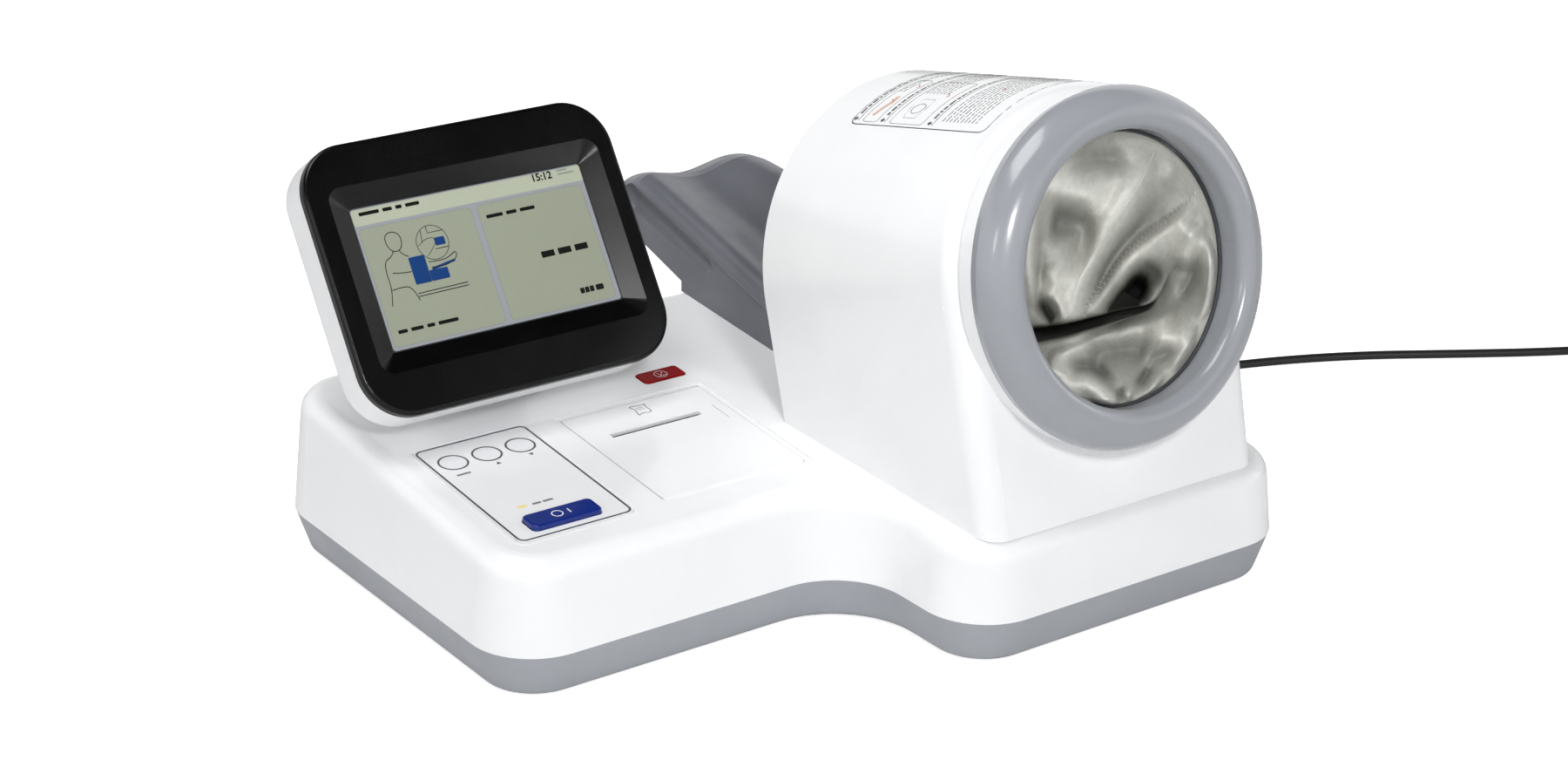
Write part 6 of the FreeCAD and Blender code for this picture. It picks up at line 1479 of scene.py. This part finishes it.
@dataclass(frozen=True)
class CuffSleeve:
    """Slack satin sleeve that lines the tunnel: two sheets that meet in a slit, gathered at the ring.

    Attributes:
        columns, rows: squares of cloth round and along the sleeve.
        crowding: power that crowds the rows towards the ring.
        thickness: of the cloth, in millimetres.
        lean: how far folds lean sideways and up as they rise, as shares of their rise.
        easing: steps over which the stations are evened out.
        stations: the sleeve's sections, from the ring to the rear.
        swellings: height of each, its share along and length, its place across and width. The first lifts
            both sheets at the right, the second the upper sheet at the left.
        gathers, gather_waves: height, share along and length of the gathers at the rear, and what waves()
            takes for them.
        frill, frill_waves: the same of the frill at the ring.
        creases: height, spacing and offset of the small creases.
        folded: where along the sleeve its folds begin and end, each a start and a stretch.
        painted_shade: rise at which painted shade begins on the cloth, and the stretch to its darkest.
        inside: where along the sleeve painted shade covers it all round, each a start and a stretch.
        folds: the folds.
        seams: the straight and the zigzag seam of the upper sheet.
        stitch: distance between stitches.
        seam_reach: heights between which a seam is laid on the cloth.
        edging: radius, thickness and depth of the edging.
        flat_size: the rectangle that the cloth is cut from, in metres.
        cut_area: flat area of the cut, in square metres; not used.
    """

    columns: int = 280
    rows: int = 150
    crowding: float = 1.3
    thickness: float = 0.5
    lean: Pair = (-0.84, 0.215)
    easing: tuple[float, ...] = (-0.03, -0.02, -0.01, 0.0, 0.01, 0.02, 0.03)
    stations: tuple[Station, ...] = (
        Station(0.00, -3.6, 76.9, 76.9), Station(0.05, -7, 76, 76),
        Station(0.24, -24, 70, 42, 2, -17), Station(0.42, -44, 62, 3, 6, -37),
        Station(0.48, -58, 58, 2.5, 4, -38), Station(0.52, -68, 56, 5, 3, -30),
        Station(0.60, -88, 53, 13, 0, -11), Station(0.72, -122, 53, 13, 0, -8),
        Station(0.96, -180, 75.4, 75.4), Station(1.00, -184, 76.6, 76.6))
    swellings: tuple[tuple[float, ...], ...] = ((34.0, 0.42, 0.14, 78.0, 9.5), (7.0, 0.42, 0.06, -50.0, 30.0))
    gathers: Point = (0.038, 0.84, 0.09)
    gather_waves: tuple[int, float, int] = (11, 1.4, 3)
    frill: Point = (1.2, 0.09, 0.06)
    frill_waves: tuple[int, float, int] = (15, 2.0, 5)
    creases: tuple[Point, ...] = ((1.3, 0.05, 0.0), (0.7, 0.13, 9.0))
    folded: tuple[Pair, Pair] = ((0.015, 0.07), (0.46, -0.05))
    painted_shade: Pair = (15.0, -36.0)
    inside: tuple[Pair, Pair] = ((0.41, 0.03), (0.82, -0.1))
    folds: tuple[Fold, ...] = (
        Fold(((35, 63), (20, 47), (3, 30), (-12, 19), (-24, 7), (-32, -5), (-38, -16), (-39, -25)), 20, 8, 17,
             1.7, (0.3, 0)),
        Fold(((44, 42), (31, 30), (15, 20), (0, 9), (-13, -1), (-22, -11), (-30, -20)), -8, 8, 8, 1.8,
             (0.4, 0.2)),
        Fold(((66, 26), (49, 19), (30, 12), (12, 7), (-1, 0), (-10, -9), (-21, -18), (-32, -24)), 10, 12, 5,
             1.7, (0.2, 0.1)),
        Fold(((20, -7), (12, -11), (2, -18)), -14, 11, 9, 2.4, (0, 0)),
        Fold(((10, -14), (2, -19), (-8, -24)), -30, 7.5, 7.5, 2, (0, 0)),
        Fold(((-8, -16), (-3, -8), (5, 1), (16, 5), (27, 0), (33, -12)), 7, 7, 3.4),
        Fold(((60, 16), (51, 4), (46, -12)), 14, 11, 10),
        Fold(((-58, 57), (-42, 53), (-28, 48), (-14, 43), (-5, 35)), 16, 16, 6.5, 1.7, (0.1, 0.3)),
        Fold(((-48, 38), (-35, 34), (-23, 28), (-24, 18), (-33, 6), (-38, -4)), -13, 9, 11, 2.4, (0.1, 0.4)),
        Fold(((-53, 44), (-60, 33), (-64, 20), (-66, 7), (-66, -10)), 12, 3, 7),
        Fold(((-46, 37), (-55, 25), (-58, 12), (-59, -2)), -4, 4.4, 4.4),
        Fold(((-54, 14), (-48, 3), (-45, -7)), 8, 8, 8),
        Fold(((-63, -5), (-56, -4), (-49, -7), (-46, -14), (-46, -20), (-42, -25)), 9, 4, 3, 1.7, (0.2, 0.2)),
        Fold(((-59, -10), (-56, -15), (-52, -20)), -15, 4.4, 4.4, 2.2, (0, 0.2)),
        Fold(((61, 8), (67, -4), (69, -17), (68, -28), (62, -36), (50, -40)), 15, 4.4, 8, 1.7, (0.35, 0.5)),
        Fold(((60, 2), (56, -9), (50, -19), (39, -28)), -7, 5, 5, 1.7, (0.4, 0.3)),
        Fold(((72, 0), (75, -15), (73, -30), (66, -42), (57, -53)), -12, 3.4, 3.4),
        Fold(((-62, -40), (-45, -39), (-22, -36), (-1, -35), (19, -36), (36, -34)), 10, 3, 11, 1.7,
             (0.1, 0.1)),
        Fold(((-34, -44), (-8, -46), (4, -49), (14, -56)), -11, 9, 9, 1.7, (0.2, 0.2)),
        Fold(((10, -44), (25, -45), (40, -47), (54, -44)), 11, 9, 8),
        Fold(((50, -46), (42, -55), (33, -61), (28, -70)), 9, 6, 7),
        Fold(((40, -58), (26, -55), (14, -58), (4, -62)), -6, 6, 5),
        Fold(((-62, -42), (-50, -49), (-44, -56), (-37, -56), (-31, -58), (-23, -65), (-18, -72), (-12, -78)),
             22, 3.6, 9, 1.7, (0.1, 0.1)),
        Fold(((-50, -43), (-40, -49), (-30, -52), (-20, -59), (-12, -67)), -12, 5, 5),
        Fold(((-7, -79), (-5, -71), (-1, -66)), 11, 3.2, 3.2, 1.7, (0, 0.5)),
        Fold(((-12, -78), (-11, -72), (-10, -65)), -9, 2.6, 2.6, 1.7, (0, 0.5)),
        Fold(((4, -76), (12, -73), (20, -68), (21, -62)), 11, 3.8, 3.8, 1.7, (0, 0.5)),
        Fold(((2, -71), (8, -65), (16, -61)), -9, 3.6, 3.6),
        Fold(((-34, 64), (-16, 66), (4, 62), (18, 54)), -9, 8, 7),
        Fold(((70, 16), (60, 12), (48, 6)), 3, 3, 3),
        Fold(((52, 52), (44, 48), (38, 40)), 4, 5, 5))
    seams: tuple[Seam, ...] = (
        Seam("sleeve_seam_straight", (
            (34, 60), (22, 45), (4, 30), (-15, 15), (-31, 0), (-39, -12), (-42, -20)), 0.0, 0.65),
        Seam("sleeve_seam_zigzag", (
            (62, 31), (50, 26), (30, 19), (11, 10), (-2, 3), (-18, -8), (-33, -22)), 2.1, 0.85))
    stitch: float = 1.7
    seam_reach: Pair = (40.0, -80.0)
    edging: Point = (77.2, 1.2, -2.6)
    flat_size: Pair = (0.49, 0.26)
    cut_area: float = 0.085

    def plain_form(self, around: np.ndarray, share: np.ndarray) -> tuple[np.ndarray, np.ndarray, np.ndarray]:
        """The sleeve without its folds.

        Args:
            around: shares of the way round, from the seam at the sleeve's foot.
            share: shares of the way along, from the ring to the rear.

        Returns:
            Places across, up and off the mouth's plane, in millimetres.
        """
        shares = [station.share for station in self.stations]

        def measure(name: str) -> np.ndarray:
            """One measure of the stations, evened out along the sleeve."""
            values = [getattr(station, name) for station in self.stations]
            return sum(np.interp(share + step, shares, values) for step in self.easing) / len(self.easing)

        angle = math.tau * around - math.pi / 2
        x = measure("x") + measure("half_width") * np.cos(angle)
        u = measure("u") + measure("half_height") * np.sin(angle)
        for (height, middle, length, across, width), part in zip(self.swellings, (1.0, np.sin(angle) > 0)):
            u += height * part * bell(share, middle, length) * bell(x, across, width)
        height, middle, length = self.gathers
        reach = 1.0 - height * bell(share, middle, length) * waves(around, *self.gather_waves)
        return x * reach, u * reach, measure("depth")

    def rises(self, around: np.ndarray, share: np.ndarray, x: np.ndarray, u: np.ndarray,
              depth: np.ndarray) -> np.ndarray:
        """How far folds and creases lift the cloth.

        Args:
            around, share: as in plain_form().
            x, u, depth: places of the plain form.

        Returns:
            Heights along the way that the folds lean, in millimetres.
        """
        across = x - self.lean[0] * depth
        up = u - self.lean[1] * depth
        heights = sum(fold.height(across, up) for fold in self.folds)
        heights += np.array([sum(height * noise.noise(Vector((a, b, offset)) * rate)
                                 for height, rate, offset in self.creases) for a, b in zip(across, up)])
        height, middle, length = self.frill
        frill = bell(share, middle, length) * np.maximum(np.cos(math.tau * around), 0.0) ** 2
        heights += height * frill * waves(around, *self.frill_waves)
        return heights * growing(share, *self.folded[0]) * growing(share, *self.folded[1])

    def sew_cloth(self) -> Piece:
        """Sew the sleeve from a flat grid of cloth, its two ends joined and its folds in place."""
        deselect()
        bpy.ops.mesh.primitive_grid_add(x_subdivisions=self.columns, y_subdivisions=self.rows, size=1.0)
        sleeve = bpy.context.object
        matrix = TUNNEL.matrix()
        grid = np.array([vertex.co[:2] for vertex in sleeve.data.vertices]) + 0.5
        around, share = grid[:, 0], grid[:, 1] ** self.crowding
        x, u, depth = self.plain_form(around, share)
        rise = self.rises(around, share, x, u, depth)
        # Painted shade: fold valleys and the sleeve's inside get a share of dark colour, kept as a point
        # attribute for the material.
        painted_shade_share = np.maximum(growing(rise, *self.painted_shade),
                               growing(share, *self.inside[0]) * growing(share, *self.inside[1]))
        painted_shade_layer = sleeve.data.attributes.new("painted_shade_share", "FLOAT", "POINT")
        painted_shade_layer.data.foreach_set("value", painted_shade_share)
        places = zip(x + self.lean[0] * rise, u + self.lean[1] * rise, depth + rise)
        for vertex, place in zip(sleeve.data.vertices, places):
            vertex.co = matrix @ Vector(place)
        for loop in sleeve.data.uv_layers[0].data:
            loop.uv = (loop.uv[0] * self.flat_size[0], loop.uv[1] ** self.crowding * self.flat_size[1])
        edit(lambda: bpy.ops.mesh.remove_doubles(threshold=0.00001), lambda: bpy.ops.mesh.flip_normals())
        for kind, settings in (("SMOOTH", {"factor": 0.5, "iterations": 1}),
                               ("SOLIDIFY", {"thickness": self.thickness * MM, "offset": 0.0})):
            modifier = sleeve.modifiers.new(kind.lower(), kind)
            for name, value in settings.items():
                setattr(modifier, name, value)
            bpy.ops.object.modifier_apply(modifier=modifier.name)
        bpy.ops.object.shade_smooth()
        return sleeve

    def build(self) -> None:
        sleeve = finished(self.sew_cloth(), "cuff_sleeve", Body.BASE, "sleeve_satin")
        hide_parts("cuff_liner")
        self.stitch_seams(sleeve)
        self.lay_edging()

    def along_lean(self, place: Vector, rise: float) -> Vector:
        """Point above or below a place of the mouth's plane, along the way the folds lean, in metres."""
        return TUNNEL.matrix() @ Vector((place.x + self.lean[0] * rise, place.y + self.lean[1] * rise, rise))

    def stitch_seams(self, sleeve: Piece) -> None:
        """Stitch the straight and the zigzag seam on the upper sheet."""
        above, below = self.seam_reach
        for seam in self.seams:
            thread = strokes([seam.stitches(self.stitch)], seam.width, seam.width, smooth=False)
            shifted(thread, slide(0.0, 0.0, seam.width / 3))
            laid_on(thread, sleeve, lambda place: self.along_lean(place, above),
                    lambda place: self.along_lean(place, below))
            finished(thread, seam.name, Body.BASE, "thread_pale")

    def lay_edging(self) -> None:
        """Dark woven edging between the sleeve and the ring."""
        radius, thickness, depth = self.edging
        deselect()
        bpy.ops.mesh.primitive_torus_add(major_radius=radius, minor_radius=thickness, major_segments=120,
                                         minor_segments=8)
        hem = bpy.context.object
        bpy.ops.object.shade_smooth()
        seat(hem, "sleeve_edging", TUNNEL.matrix() @ slide(0.0, 0.0, depth), Body.BASE, "edging_dark")


def main() -> None:
    """Build the studio, dress the nodes and build every sub-assembly in order."""
    logging.basicConfig(level=logging.INFO, format="%(message)s")
    ViewPoint().build()
    Studio().build()
    dress_nodes()
    for assembly in (PowerLead(), ScreenPicture(), PanelMarks(), DeckMarks(), TunnelLabel(), CuffSleeve()):
        assembly.build()
        LOG.info("finished %s", type(assembly).__name__)


if __name__ == "__main__":
    main()
